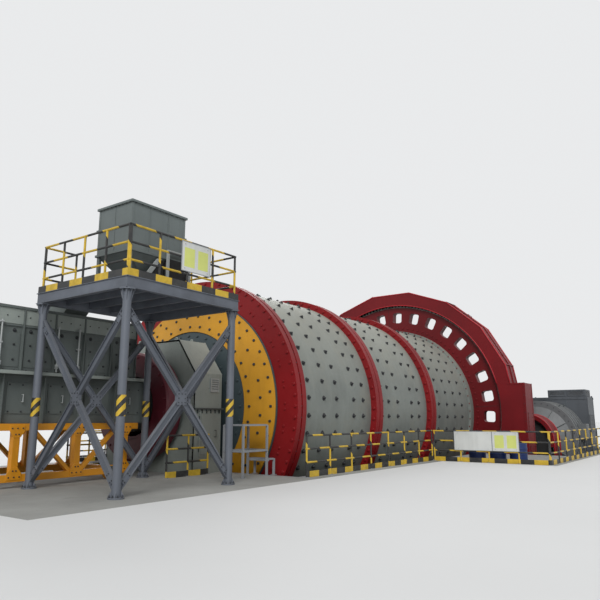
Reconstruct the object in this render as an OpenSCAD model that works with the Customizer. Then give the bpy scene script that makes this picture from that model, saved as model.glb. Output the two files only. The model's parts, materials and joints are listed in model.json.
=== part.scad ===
// Geared ball mill with its foundation, twin pinion drive, feed chute car and feed platform.
// Millimetres. X runs across the hall, Y along the mill from feed to discharge, Z up.
// The origin is at the middle of the foundation's underside.

/* [Levels] */
// Height of the mill axis above the operating floor
axis_h = 1800; // [1700:10:1900]
// Thickness of the foundation slab
slab_t = 400; // [300:10:500]
// Gap between the gear guard's sump and the slab
sump_clear = 50; // [20:5:100]

/* [Drum shell] */
// Outer radius of the shell cans
can_r = 3870; // [3820:5:3890]
// Thickness of the shell plate
shell_t = 90; // [60:5:120]
// Length of the first can, at the feed end
can_1_len = 3940; // [3700:10:4200]
// Length of the middle can
can_2_len = 4000; // [3700:10:4300]
// Length of the last can, with its end flange
can_3_len = 4530; // [4300:10:4800]
// How far the bolted can flanges stand out of the cans
can_flange_h = 210; // [150:5:250]
// Thickness of a pair of bolted can flanges
can_flange_t = 470; // [300:10:600]
// How far the end flange of the last can stands out of it
end_flange_h = 100; // [80:5:130]
// Thickness of the end flange of the last can
end_flange_t = 350; // [200:10:500]

/* [Feed end] */
// How far the feed flange stands out of the first can
feed_flange_h = 130; // [100:5:200]
// Length of the feed flange along the axis
feed_flange_t = 420; // [350:10:500]
// Inner radius of the red front face of the feed flange
feed_face_r = 3300; // [3250:5:3400]
// Outer radius of the slate band, where the yellow head ring begins
head_band_r = 2340; // [2200:5:2500]
// How far the head cone stands out of the feed flange
head_rise = 600; // [500:10:620]
// Thickness of the cast heads
head_t = 160; // [120:5:200]
// Thickness of the yellow head ring
head_ring_t = 30; // [20:1:50]

/* [Trunnions and bearings] */
// Radius of the trunnion journals
journal_r = 1250; // [1220:5:1280]
// Step from the feed journal down to the neck behind the maroon inlet ring
neck_step = 200; // [150:5:240]
// Wall thickness of that neck
neck_wall = 220; // [190:5:250]
// Wall thickness of the discharge trunnion
discharge_wall = 150; // [120:5:180]
// How far the maroon inlet ring stands out of its neck
inlet_ring_h = 450; // [350:5:500]
// Length of a trunnion bearing
bearing_len = 700; // [600:10:800]
// Half width of a bearing pedestal
bearing_half_w = 1650; // [1600:10:1700]
// Radial running clearance of the journals and the pinion shafts
fit_gap = 0.3; // [0.2:0.05:0.5]
// Side gap between a bearing pedestal and the sheet casing round it
casing_gap = 200; // [150:5:250]
// Length of a bearing casing along the axis
casing_len = 1040; // [980:10:1060]
// Height of a casing's flat top over the mill axis
casing_top = 1860; // [1820:10:1900]
// Sheet thickness of the bearing casings
casing_t = 40; // [20:5:60]

/* [Girth gear] */
// Number of teeth of the girth gear
gear_teeth = 180; // [180:2:180]
// Number of teeth of each pinion
pinion_teeth = 18; // [18:2:18]
// Distance from the drum's end flange to the girth gear's pitch circle
gear_h = 1330; // [1300:5:1350]
// Face width of the girth gear
gear_face = 700; // [600:10:760]
// Thickness of the gear's web
web_t = 190; // [160:5:230]
// Number of windows in the web
window_count = 32; // [24:1:36]
// Width of the web left between the windows and the rim
window_rim_gap = 196; // [170:1:220]
// Radial height of a window
window_h = 520; // [400:10:540]
// Width of a window across the web
window_w = 480; // [420:10:500]
// Corner radius of a window
window_corner_r = 110; // [80:5:140]
// Wall thickness of the collar behind a window
collar_t = 30; // [20:1:35]
// Length of the collar behind a window
collar_len = 180; // [120:10:220]
// Angle of the first window
window_phase = -3; // [-5:0.5:5]
// Thickness of the gear's toothed rim below the teeth
rim_t = 90; // [70:5:100]

/* [Drive] */
// Angle of the pinions below the mill axis, in whole degrees
pinion_angle = 13; // [13:1:14]
// Radius of a pinion shaft
shaft_r = 190; // [150:5:230]
// Gap between a pinion's rear bearing block and its clutch
clutch_gap = 850; // [700:10:950]
// Radius of a clutch drum
clutch_r = 980; // [950:10:1080]
// Length of a clutch drum
clutch_len = 900; // [700:10:1000]
// Radial gap between a clutch drum and its round guard, with the sheet
clutch_guard_gap = 200; // [150:5:270]
// Radius of a motor's stator frame
stator_r = 1850; // [1750:10:1880]
// Gap between a motor's stator frame and the top of its plinth
stator_clear = 50; // [30:5:100]
// Length of a motor's stator frame
stator_len = 2100; // [1900:10:2150]
// Width of a motor's cooler
cooler_w = 3000; // [2800:10:3100]
// How far a cooler stands outwards of its motor's axis
cooler_shift = 500; // [400:10:550]
// Height of a cooler's top over the operating floor
cooler_top = 2550; // [2400:10:2700]

/* [Gear guard] */
// How far the guard's side plates reach inside the gear's pitch circle
guard_lap = 10; // [0:1:40]
// Radial height of the guard's side plates, at its corners
guard_h = 660; // [590:5:730]
// Plate thickness of the guard
guard_t = 30; // [20:5:40]
// Gap between the gear's face and the guard's side plate
guard_side_gap = 180; // [140:5:200]
// Number of flat sides round a full turn of the guard
guard_sides = 18; // [18:4:22]
// Height over the mill axis where the pinion boxes end
box_top = 1200; // [1100:10:1300]
// Radial gap between a pinion's teeth and the outer plate of its box
box_gap = 110; // [90:5:200]
// How far the sump's plates stand outside the gear's pitch circle
sump_gap = 250; // [200:5:260]

/* [Feed platform] */
// Gap between the chute box's rim and the end plates of the inner legs
platform_gap = 75; // [50:5:110]
// Spacing of the legs across the hall
platform_w = 2900; // [2700:10:3000]
// Spacing of the legs along the hall
platform_l = 3050; // [2900:10:3100]
// Position of the first legs ahead of the feed flange
platform_y = 6150; // [6100:10:6250]
// Height of the deck over the operating floor
deck_h = 4220; // [4150:10:4400]
// Depth of the deck's edge beams
beam_h = 240; // [180:10:280]
// Radius of a round leg
leg_r = 85; // [75:1:100]
// Width of a brace
brace_w = 140; // [110:5:160]
// Depth of a brace
brace_t = 80; // [60:5:100]
// Height of the platform's railing
platform_rail_h = 1100; // [1000:10:1200]
// Height of the toe boards
toe_h = 150; // [100:5:180]

/* [Hopper] */
// Width of the feed hopper across the hall
hopper_w = 1120; // [1000:10:1200]
// Length of the feed hopper along the hall
hopper_l = 1520; // [1400:10:1600]
// Height of the hopper's straight box
hopper_box_h = 1100; // [1000:10:1200]
// Height of the hopper's tapered bottom
hopper_taper_h = 420; // [380:10:440]
// Height of the hopper's rim over the deck
hopper_top = 1830; // [1800:10:1900]
// Plate thickness of the hopper and the chutes
plate_t = 20; // [12:1:30]

/* [Feed chute car] */
// Half width of the chute box
chute_half_w = 1120; // [1050:10:1130]
// Length of the chute box
chute_len = 4700; // [4500:10:4800]
// Height of the trolley's top over the operating floor
trolley_h = 1350; // [1300:10:1400]
// Height of the chute's lower, narrower box
chute_low_h = 1050; // [950:10:1100]
// Height of the chute's upper box
chute_up_h = 1500; // [1400:10:1550]
// Outer radius of the feed spout
spout_r = 700; // [650:5:740]

/* [Fences] */
// Height of the floor fences
fence_h = 1060; // [1000:10:1100]
// Radius of the fence pipes
pipe_r = 25; // [20:1:30]
// Longest spacing of the fence posts
post_pitch = 1200; // [1000:50:1500]
// Distance of the fence beside the drive from the outer face of its wall
drive_fence_inset = 200; // [150:10:250]

/* [Foundation] */
// Gap between the can flanges and the pit's walls
pit_gap = 470; // [400:10:520]
// How far the block below the feed end stands out of the pit's walls
feed_block_side = 150; // [100:10:250]
// Length of floor behind the feed chute car
feed_margin = 400; // [350:10:550]
// Gap between the feed block and the feed flange
feed_block_gap = 750; // [740:5:770]
// Distance from the feed flange to the cross wall at the drive
cross_wall_y = 7000; // [6900:10:7100]
// Gap between the floor-level apron and the pinions' front bearings
apron_gap = 540; // [450:10:600]
// Width of the passage between a drive plinth and the bay's side wall
passage_w = 670; // [600:10:760]
// Thickness of the retaining walls
wall_t = 500; // [400:10:550]
// Width of the passage between the drive plinths and the end wall
end_passage = 370; // [300:10:500]

/* [Hidden] */
$fn = 96;
eps = 1;

// Radii of the drum and its ends
can_flange_r = can_r + can_flange_h;
end_flange_r = can_r + end_flange_h;
feed_flange_r = can_r + feed_flange_h;
shell_ri = can_r - shell_t;
neck_r = journal_r - neck_step;
feed_bore_r = neck_r - neck_wall;
inlet_ring_r = neck_r + inlet_ring_h;
discharge_bore_r = journal_r - discharge_wall;
casing_half_w = bearing_half_w + casing_gap;

// Gear proportions, all from the pitch radius and the tooth counts, and the guard round them
gear_pitch_r = end_flange_r + gear_h;
module_mm = 2 * gear_pitch_r / gear_teeth;
addendum = 0.88 * module_mm;
dedendum = 1.08 * module_mm;
tooth_half = 0.70 * module_mm;
pressure = 20;
gear_tip_r = gear_pitch_r + addendum;
gear_root_r = gear_pitch_r - dedendum;
rim_inner_r = gear_root_r - rim_t;
window_ring_r = rim_inner_r - window_rim_gap - window_h / 2;
pinion_pitch_r = gear_pitch_r * pinion_teeth / gear_teeth;
guard_lip_r = gear_pitch_r - guard_lap;
guard_r = guard_lip_r + guard_h;
sump_r = gear_pitch_r + sump_gap;
clutch_guard_r = clutch_r + clutch_guard_gap;

// Levels
axis_z = slab_t + sump_clear + sump_r;
floor_z = axis_z - axis_h;
pinion_x = (gear_pitch_r + pinion_pitch_r) * cos(pinion_angle);
pinion_dz = -(gear_pitch_r + pinion_pitch_r) * sin(pinion_angle);
pinion_z = axis_z + pinion_dz;
plinth_z = pinion_z - stator_r - stator_clear;
box_x = pinion_x + pinion_pitch_r + addendum + box_gap;

// Places along the mill, measured from the feed flange's front face
can_1_y = feed_flange_t;
flange_1_y = can_1_y + can_1_len;
can_2_y = flange_1_y + can_flange_t;
flange_2_y = can_2_y + can_2_len;
can_3_y = flange_2_y + can_flange_t;
gear_y = can_3_y + can_3_len;
hub_end_y = gear_y + web_t;
rim_y = gear_y;

// Bearings
casing_setback = 10;
feed_casing_y = -feed_block_gap - casing_setback - casing_len;
feed_bearing_y = feed_casing_y + (casing_len - bearing_len) / 2;
journal_end_y = feed_casing_y + casing_t * 2;
inlet_ring_t = 500;
inlet_gap = 150;
inlet_ring_y = feed_casing_y - inlet_ring_t - inlet_gap;
discharge_rise = 880;
pier_gap = 100;
head_back_y = hub_end_y + discharge_rise;
pier_y = head_back_y + pier_gap;
pier_len = 1900;
pier_margin = 700;
pier_half_w = bearing_half_w + pier_margin;
discharge_casing_y = pier_y + inlet_gap;
discharge_bearing_y = discharge_casing_y + (casing_len - bearing_len) / 2;
outlet_reach = 400;
outlet_y = discharge_casing_y + casing_len + outlet_reach;

// Guard and drive
guard_y = rim_y - guard_side_gap - guard_t;
guard_len = gear_face + 2 * (guard_side_gap + guard_t);
pinion_block_len = 360;
pinion_block_gap = 120;
front_block_y = guard_y - pinion_block_gap - pinion_block_len;
rear_block_y = guard_y + guard_len + pinion_block_gap;
clutch_y = rear_block_y + pinion_block_len + clutch_gap;
motor_gap = 300;
motor_shield_len = 500;
cooler_gap = 60;
motor_nose_y = clutch_y + clutch_len + motor_gap;
stator_y = motor_nose_y + motor_shield_len;
cooler_y = stator_y + stator_len + cooler_gap;
cooler_len = 1500;
plinth_end_y = cooler_y + cooler_len + 100;

// Feed side equipment
deck_z = floor_z + deck_h;
deck_edge = leg_r + 20;
leg_foot_r = leg_r + 70;
chute_end_y = -3300;
low_box_reach = 500;
low_box_end_y = chute_end_y + low_box_reach;
chute_y = chute_end_y - chute_len;
chute_step = 200;
chute_rim_w = 50;
platform_x = chute_half_w + chute_rim_w + platform_gap + leg_foot_r;
trolley_z = floor_z + trolley_h;
chute_top_z = trolley_z + chute_low_h + chute_up_h;
hopper_side_gap = 470;
hopper_end_gap = 370;
hopper_x = platform_x + platform_w - hopper_side_gap - hopper_w;
hopper_y = -platform_y + hopper_end_gap;
hopper_z = deck_z + hopper_top - hopper_box_h;
duct_w = 620;
duct_mid_y = hopper_y + hopper_l / 2;

// Foundation and fences, from the machine outwards
fence_x = can_flange_r + pit_gap + wall_t / 2;
feed_block_half_w = fence_x + wall_t / 2 + feed_block_side;
feed_end_y = chute_y - feed_margin;
apron_end_y = front_block_y - apron_gap;
end_wall_y = plinth_end_y + end_passage + wall_t;
middle_y = (feed_end_y + end_wall_y) / 2;
plinth_kerb = 150;
plinth_outer_x = pinion_x + cooler_shift + cooler_w / 2 + plinth_kerb;
bay_half_w = plinth_outer_x + passage_w + wall_t;
drive_fence_x = bay_half_w - drive_fence_inset;

// Puts a shape that is given from the feed flange and the mill axis into the part's frame
module at_mill() {
    translate([0, -middle_y, 0]) children();
}

// Turns a [radius, place along the mill] profile about the mill axis
module turned(points) {
    at_mill() translate([0, 0, axis_z]) rotate([-90, 0, 0]) rotate_extrude($fn = 180) polygon(points);
}

// Extrudes a flat shape drawn across the hall, with X to the side and Y up from a given height
module across(y, length, z = axis_z) {
    at_mill() translate([0, y + length, z]) rotate([90, 0, 0]) linear_extrude(length) children();
}

module both_sides() {
    children();
    mirror([1, 0, 0]) children();
}

// A box given by two opposite corners, in mill places
module box_at(low, high) {
    at_mill() translate(low) cube(high - low);
}

// Points of a regular polygon whose corners lie at a radius
function corners(radius, sides, phase = 0) =
    [for (i = [0 : sides - 1]) radius * [cos(phase + i * 360 / sides), sin(phase + i * 360 / sides)]];

// Foundation

module slab_outline() {
    translate([-feed_block_half_w, feed_end_y]) square([2 * feed_block_half_w, cross_wall_y - feed_end_y]);
    translate([-bay_half_w, cross_wall_y]) square([2 * bay_half_w, end_wall_y - cross_wall_y]);
}

module base_slab() {
    color([0.55, 0.56, 0.54]) at_mill() linear_extrude(slab_t) slab_outline();
}

module feed_block() {
    color([0.55, 0.56, 0.54])
        box_at([-feed_block_half_w, feed_end_y, slab_t], [feed_block_half_w, -feed_block_gap, floor_z]);
}

module pit_walls() {
    color([0.55, 0.56, 0.54]) both_sides()
        box_at([fence_x - wall_t / 2, -feed_block_gap, slab_t], [fence_x + wall_t / 2, cross_wall_y, floor_z]);
}

module drive_aprons() {
    color([0.55, 0.56, 0.54]) both_sides()
        box_at([fence_x - wall_t / 2, cross_wall_y, slab_t], [bay_half_w, apron_end_y, floor_z]);
}

module bay_walls() {
    color([0.55, 0.56, 0.54]) at_mill() translate([0, 0, slab_t]) linear_extrude(floor_z - slab_t)
        difference() {
            translate([-bay_half_w, apron_end_y]) square([2 * bay_half_w, end_wall_y - apron_end_y]);
            translate([-bay_half_w + wall_t, apron_end_y - eps])
                square([2 * (bay_half_w - wall_t), end_wall_y - apron_end_y - wall_t + eps]);
        }
}

module discharge_pier() {
    color([0.55, 0.56, 0.54])
        box_at([-pier_half_w, pier_y, slab_t], [pier_half_w, pier_y + pier_len, floor_z]);
}

module drive_plinths() {
    side_gap = 90;
    inner_x = sqrt(pow(sump_r, 2) - pow(axis_z - plinth_z, 2)) + side_gap;
    motor_x = pinion_x - stator_r;
    color([0.55, 0.56, 0.54]) both_sides() at_mill() translate([0, 0, slab_t])
        linear_extrude(plinth_z - slab_t)
            polygon([[inner_x, apron_end_y], [plinth_outer_x, apron_end_y], [plinth_outer_x, plinth_end_y],
                     [motor_x, plinth_end_y], [motor_x, motor_nose_y], [inner_x, motor_nose_y]]);
}

// Trunnion bearings and their sheet casings

module trunnion_bearing(y) {
    cap_r = journal_r + 200;
    cheek = journal_r + 260;
    sole_h = 260;
    cheek_h = 300;
    joint_w = 200;
    joint_h = 180;
    across(y, bearing_len) difference() {
        union() {
            polygon([[-bearing_half_w, -axis_h], [bearing_half_w, -axis_h], [bearing_half_w, sole_h - axis_h],
                     [cheek, -cheek_h], [cheek, 0], [-cheek, 0], [-cheek, -cheek_h],
                     [-bearing_half_w, sole_h - axis_h]]);
            circle(cap_r);
            for (side = [-1, 1])
                translate([side * (cheek - joint_w / 2), 0]) square([joint_w, joint_h], center = true);
        }
        circle(journal_r + fit_gap);
    }
}

module casing_outline(inset = 0) {
    w = casing_half_w - inset;
    top = casing_top - inset;
    shoulder = 900;
    roof_half = 1150;
    top_half = roof_half - inset / 2;
    polygon([[-w, -axis_h], [w, -axis_h], [w, shoulder], [top_half, top], [-top_half, top], [-w, shoulder]]);
}

module bearing_casing(y, front_r, back_r) {
    across(y, casing_t) difference() {
        casing_outline();
        circle(front_r);
    }
    across(y, casing_len) difference() {
        casing_outline();
        translate([0, -eps]) casing_outline(casing_t);
    }
    across(y + casing_len - casing_t, casing_t) difference() {
        casing_outline();
        circle(back_r);
    }
}

module trunnion_bearings() {
    color([0.30, 0.34, 0.34]) {
        trunnion_bearing(feed_bearing_y);
        trunnion_bearing(discharge_bearing_y);
    }
}

module bearing_casings() {
    shaft_clear = 60;
    color([0.55, 0.60, 0.58]) {
        bearing_casing(feed_casing_y, neck_r + shaft_clear, journal_r + shaft_clear);
        bearing_casing(discharge_casing_y, journal_r + shaft_clear, journal_r + shaft_clear);
    }
}

// Drum

module feed_flange() {
    groove = 60;
    front_t = 180;
    color([0.55, 0.10, 0.12]) turned([
        [feed_face_r, 0], [feed_flange_r, 0], [feed_flange_r, front_t], [feed_flange_r - groove, front_t],
        [feed_flange_r - groove, front_t + groove], [feed_flange_r, front_t + groove],
        [feed_flange_r, feed_flange_t], [shell_ri, feed_flange_t], [shell_ri, front_t], [feed_face_r, front_t]]);
}

module can_tube(y, length) {
    turned([[shell_ri, y], [can_r, y], [can_r, y + length], [shell_ri, y + length]]);
}

module can_1() {
    color([0.54, 0.56, 0.52]) can_tube(can_1_y, can_1_len);
}

module can_2() {
    color([0.54, 0.56, 0.52]) can_tube(can_2_y, can_2_len);
}

module can_3() {
    start = gear_y - end_flange_t;
    color([0.54, 0.56, 0.52]) turned([
        [shell_ri, can_3_y], [can_r, can_3_y], [can_r, start], [end_flange_r, start],
        [end_flange_r, gear_y], [shell_ri, gear_y]]);
}

module can_flange(y) {
    groove = 40;
    middle = y + can_flange_t / 2;
    turned([[shell_ri, y], [can_flange_r, y], [can_flange_r, middle - groove / 2],
            [can_flange_r - groove, middle - groove / 2], [can_flange_r - groove, middle + groove / 2],
            [can_flange_r, middle + groove / 2], [can_flange_r, y + can_flange_t],
            [shell_ri, y + can_flange_t]]);
}

module can_flanges() {
    color([0.55, 0.10, 0.12]) {
        can_flange(flange_1_y);
        can_flange(flange_2_y);
    }
}

// Place along the mill of the head cone's front surface at a radius
head_lip = 40;

function head_front(radius) =
    -head_lip - (head_rise - head_lip) * (feed_face_r - radius) / (feed_face_r - journal_r);

module feed_head() {
    color([0.20, 0.25, 0.26]) turned([
        [journal_r, head_front(journal_r)], [feed_face_r, head_front(feed_face_r)],
        [feed_face_r, head_front(feed_face_r) + head_t], [journal_r, head_front(journal_r) + head_t]]);
}

module head_ring() {
    outer = feed_face_r - 30;
    seat = 0.3;
    back_inner = head_front(head_band_r) - seat;
    back_outer = head_front(outer) - seat;
    color([0.82, 0.53, 0.05]) turned([
        [head_band_r, back_inner - head_ring_t], [outer, back_outer - head_ring_t],
        [outer, back_outer], [head_band_r, back_inner]]);
}

module feed_trunnion() {
    lip = 60;
    liner = 90;
    ring_end_y = inlet_ring_y + inlet_ring_t;
    color([0.40, 0.08, 0.10]) turned([
        [feed_bore_r, inlet_ring_y + lip], [feed_bore_r + liner, inlet_ring_y + lip],
        [feed_bore_r + liner, inlet_ring_y], [inlet_ring_r - lip, inlet_ring_y], [inlet_ring_r, inlet_ring_y + lip],
        [inlet_ring_r, ring_end_y], [neck_r, ring_end_y], [neck_r, journal_end_y], [journal_r, journal_end_y],
        [journal_r, head_front(journal_r) + head_t], [feed_bore_r, head_front(journal_r) + head_t]]);
}

module discharge_head() {
    flange_t = 130;
    flange_w = 400;
    color([0.20, 0.25, 0.26]) turned([
        [end_flange_r - flange_w + 40, hub_end_y], [end_flange_r, hub_end_y], [end_flange_r, hub_end_y + flange_t],
        [end_flange_r - flange_w, hub_end_y + flange_t], [journal_r, head_back_y],
        [journal_r, head_back_y - head_t]]);
}

module discharge_trunnion() {
    bolt_ring_r = (journal_r + discharge_bore_r) / 2;
    bolt_depth = 120;
    bolt_r = 24;
    bolts = 24;
    color([0.40, 0.08, 0.10]) difference() {
        turned([[discharge_bore_r, head_back_y - head_t], [journal_r, head_back_y - head_t],
                [journal_r, outlet_y], [discharge_bore_r, outlet_y]]);
        at_mill() translate([0, outlet_y, axis_z]) for (i = [0 : bolts - 1])
            rotate([0, i * 360 / bolts, 0]) translate([bolt_ring_r, 0, 0]) rotate([90, 0, 0])
                translate([0, 0, -eps]) cylinder(r = bolt_r, h = bolt_depth + eps, $fn = 32);
    }
}

// Girth gear and pinions

// One straight-flanked tooth of the gear, centred on an angle
function gear_tooth(angle) =
    let (tip_half = tooth_half - addendum * tan(pressure), root_half = tooth_half + dedendum * tan(pressure))
    [for (p = [[gear_root_r, -root_half], [gear_tip_r, -tip_half], [gear_tip_r, tip_half],
               [gear_root_r, root_half]])
        [p[0] * cos(angle) - p[1] * sin(angle), p[0] * sin(angle) + p[1] * cos(angle)]];

function flatten(lists) = [for (list = lists) for (item = list) item];

module gear_outline() {
    polygon(flatten([for (i = [0 : gear_teeth - 1]) gear_tooth(-pinion_angle + i * 360 / gear_teeth)]));
}

// A window's outline: a rectangle with round corners, grown by a margin
module window_outline(margin = 0) {
    corner_r = window_corner_r + margin;
    w = window_w + 2 * margin;
    h = window_h + 2 * margin;
    square([h - 2 * corner_r, w], center = true);
    square([h, w - 2 * corner_r], center = true);
    for (x = [-1, 1]) for (y = [-1, 1])
        translate([x * (h / 2 - corner_r), y * (w / 2 - corner_r)]) circle(corner_r, $fn = 24);
}

module each_window() {
    for (i = [0 : window_count - 1])
        rotate(window_phase + i * 360 / window_count) translate([window_ring_r, 0]) children();
}

// A rib between two windows, from the drum's flange out to the rim
module gear_rib(thickness) {
    flange_gap = 25;
    inner = end_flange_r + flange_gap;
    translate([inner, -thickness / 2]) square([rim_inner_r + eps - inner, thickness]);
}

module girth_gear() {
    rib_t = 30;
    split_t = 100;
    ribs_per_part = window_count / 4;
    color([0.50, 0.09, 0.11]) {
        across(rim_y, gear_face) difference() {
            gear_outline();
            circle(rim_inner_r);
        }
        across(gear_y, web_t) difference() {
            circle(rim_inner_r + eps);
            circle(shell_ri);
            each_window() window_outline();
        }
        across(hub_end_y - eps, collar_len) difference() {
            each_window() window_outline(collar_t);
            each_window() window_outline();
        }
        across(hub_end_y - eps, collar_len) for (i = [0 : window_count - 1])
            rotate(window_phase + (i + 0.5) * 360 / window_count) gear_rib(i % ribs_per_part == 0 ? split_t : rib_t);
    }
}

function involute(angle) = tan(angle) * 180 / PI - angle;

// Half angle of an involute pinion tooth at a radius
function tooth_half_angle(radius, base_r) =
    tooth_half / pinion_pitch_r * 180 / PI + involute(pressure) - involute(acos(min(1, base_r / radius)));

// Radii and half angles up one flank of a pinion tooth
function pinion_flank() =
    let (base_r = pinion_pitch_r * cos(pressure), root_r = pinion_pitch_r - dedendum,
         tip_r = pinion_pitch_r + addendum, steps = 3)
    concat([[root_r, tooth_half_angle(base_r, base_r)]],
           [for (i = [0 : steps]) let (r = base_r + (tip_r - base_r) * i / steps)
               [r, tooth_half_angle(r, base_r)]]);

// One pinion tooth, up its left flank and down its right flank
function pinion_tooth(angle) =
    let (flank = pinion_flank(), last = len(flank) - 1)
    concat([for (i = [0 : last]) flank[i][0] * [cos(angle - flank[i][1]), sin(angle - flank[i][1])]],
           [for (i = [last : -1 : 0]) flank[i][0] * [cos(angle + flank[i][1]), sin(angle + flank[i][1])]]);

module pinion_outline() {
    pitch = 360 / pinion_teeth;
    first = 180 - pinion_angle + pitch / 2;
    polygon(flatten([for (i = [0 : pinion_teeth - 1]) pinion_tooth(first + i * pitch)]));
}

module pinion() {
    shaft_end = 60;
    face_inset = 20;
    shaft_y = front_block_y - shaft_end;
    translate([pinion_x, 0, 0]) {
        across(rim_y + face_inset, gear_face - 2 * face_inset, pinion_z) pinion_outline();
        at_mill() translate([0, shaft_y, pinion_z]) rotate([-90, 0, 0])
            cylinder(r = shaft_r, h = clutch_y - shaft_y);
    }
}

module clutch() {
    hub_r = clutch_r * 0.45;
    hub_len = 120;
    groove_r = clutch_r * 0.9;
    groove_y = clutch_len * 0.45;
    slope = clutch_len * 0.02;
    translate([pinion_x, 0, 0]) at_mill() translate([0, clutch_y, pinion_z]) rotate([-90, 0, 0]) {
        rotate_extrude() polygon([
            [0, 0], [hub_r, 0], [hub_r, hub_len], [clutch_r, hub_len], [clutch_r, groove_y],
            [groove_r, groove_y + slope], [groove_r, clutch_len - groove_y - slope],
            [clutch_r, clutch_len - groove_y], [clutch_r, clutch_len - hub_len],
            [hub_r, clutch_len - hub_len], [hub_r, clutch_len], [0, clutch_len]]);
    }
}

module pinion_aisle() {
    color([0.45, 0.45, 0.46]) pinion();
}

module clutch_aisle() {
    color([0.16, 0.15, 0.16]) clutch();
}

module pinion_far() {
    color([0.45, 0.45, 0.46]) mirror([1, 0, 0]) pinion();
}

module clutch_far() {
    color([0.16, 0.15, 0.16]) mirror([1, 0, 0]) clutch();
}

// Gear guard

guard_phase = 90 - 180 / guard_sides;
guard_seam = 45;
guard_joints = [for (i = [-3, -1, 1, 3]) guard_phase + i * 360 / guard_sides];

module guard_ring(outer_r, inner_r) {
    difference() {
        polygon(corners(outer_r, guard_sides, guard_phase));
        circle(inner_r);
    }
}

// Keeps what lies above a height over the axis
module upper_part(limit) {
    reach = guard_r + 2 * guard_seam;
    intersection() {
        children();
        translate([-reach, limit]) square([2 * reach, reach]);
    }
}

module gear_guard_hood() {
    inner = guard_r - guard_t / cos(180 / guard_sides);
    rib_t = 40;
    color([0.60, 0.12, 0.14]) {
        for (y = [guard_y, guard_y + guard_len - guard_t])
            across(y, guard_t) upper_part(box_top) guard_ring(guard_r, guard_lip_r);
        across(guard_y, guard_len) upper_part(box_top) difference() {
            polygon(corners(guard_r, guard_sides, guard_phase));
            polygon(corners(inner, guard_sides, guard_phase));
        }
        across(guard_y + guard_len / 2 - rib_t / 2, rib_t) upper_part(box_top) difference() {
            polygon(corners(guard_r + guard_seam, guard_sides, guard_phase));
            polygon(corners(guard_r - guard_t / 2, guard_sides, guard_phase));
        }
        for (angle = guard_joints)
            across(guard_y, guard_len) rotate(angle)
                translate([guard_r - guard_t, -rib_t / 2]) square([guard_t + guard_seam, rib_t]);
    }
}

module gear_guard_boxes() {
    low = plinth_z - axis_z;
    inner_x = 4700;
    shaft_clear = 40;
    roof_x = sqrt(pow(guard_r, 2) - pow(box_top, 2)) - 2 * guard_t;
    color([0.60, 0.12, 0.14]) both_sides() {
        for (y = [guard_y, guard_y + guard_len - guard_t])
            across(y, guard_t) difference() {
                translate([inner_x, low]) square([box_x - inner_x, box_top - low]);
                circle(guard_lip_r);
                translate([pinion_x, pinion_dz]) circle(shaft_r + shaft_clear);
            }
        across(guard_y, guard_len) translate([box_x - guard_t, low]) square([guard_t, box_top - low]);
        across(guard_y, guard_len)
            translate([roof_x, box_top - guard_t]) square([box_x - roof_x, guard_t]);
    }
}

// Keeps what lies below a height over the axis
module lower_part(limit) {
    intersection() {
        children();
        translate([-guard_r, limit - guard_r]) square([2 * guard_r, guard_r]);
    }
}

module sump_outline(radius) {
    polygon(corners(radius / cos(180 / guard_sides), guard_sides, guard_phase));
}

module gear_guard_sump() {
    low = plinth_z - axis_z;
    foot_w = 500;
    foot_x = 1100;
    foot_inset = 150;
    color([0.60, 0.12, 0.14]) {
        across(guard_y, guard_len) lower_part(low) difference() {
            sump_outline(sump_r);
            sump_outline(sump_r - guard_t);
        }
        for (y = [guard_y, guard_y + guard_len - guard_t])
            across(y, guard_t) lower_part(low) difference() {
                sump_outline(sump_r);
                circle(guard_lip_r);
            }
        for (x = [-foot_x - foot_w, foot_x])
            across(guard_y + foot_inset, guard_len - 2 * foot_inset) difference() {
                translate([x, slab_t - axis_z]) square([foot_w, foot_w]);
                sump_outline(sump_r - guard_t / 2);
            }
    }
}

// Drive train on each side

module pinion_block(y) {
    half_w = 420;
    sole_h = 300;
    cap = 330;
    translate([pinion_x, 0, 0]) across(y, pinion_block_len, pinion_z) difference() {
        union() {
            translate([-half_w, plinth_z - pinion_z]) square([2 * half_w, sole_h]);
            translate([-cap, plinth_z - pinion_z]) square([2 * cap, pinion_z - plinth_z]);
            circle(cap);
        }
        circle(shaft_r + fit_gap);
    }
}

module pinion_bearings() {
    color([0.45, 0.09, 0.11]) both_sides() {
        pinion_block(front_block_y);
        pinion_block(rear_block_y);
    }
}

module clutch_guards() {
    overhang = 120;
    length = clutch_len + 2 * overhang;
    y = clutch_y - overhang;
    sheet = 30;
    lip = 170;
    lip_drop = 300;
    skirt = plinth_z - pinion_z;
    color([0.62, 0.12, 0.15]) both_sides() translate([pinion_x, 0, 0]) {
        across(y, length, pinion_z) difference() {
            union() {
                circle(clutch_guard_r);
                translate([-clutch_guard_r, skirt]) square([2 * clutch_guard_r, -skirt]);
            }
            circle(clutch_guard_r - sheet);
            translate([-clutch_guard_r + sheet, skirt - eps])
                square([2 * (clutch_guard_r - sheet), eps - skirt]);
        }
        for (end_y = [y, y + length - sheet])
            across(end_y, sheet, pinion_z) difference() {
                circle(clutch_guard_r);
                circle(clutch_guard_r - lip);
                translate([-clutch_guard_r, skirt]) square([2 * clutch_guard_r, -skirt - lip_drop]);
            }
    }
}

// Radius and place of the points along a stator frame with ring ribs
function ribbed_frame(start, ribs, rib_t, depth) =
    [for (i = [0 : ribs - 1]) let (y = start + i * (stator_len - rib_t) / (ribs - 1))
        for (p = [[stator_r - depth, y], [stator_r, y], [stator_r, y + rib_t], [stator_r - depth, y + rib_t]]) p];

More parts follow.
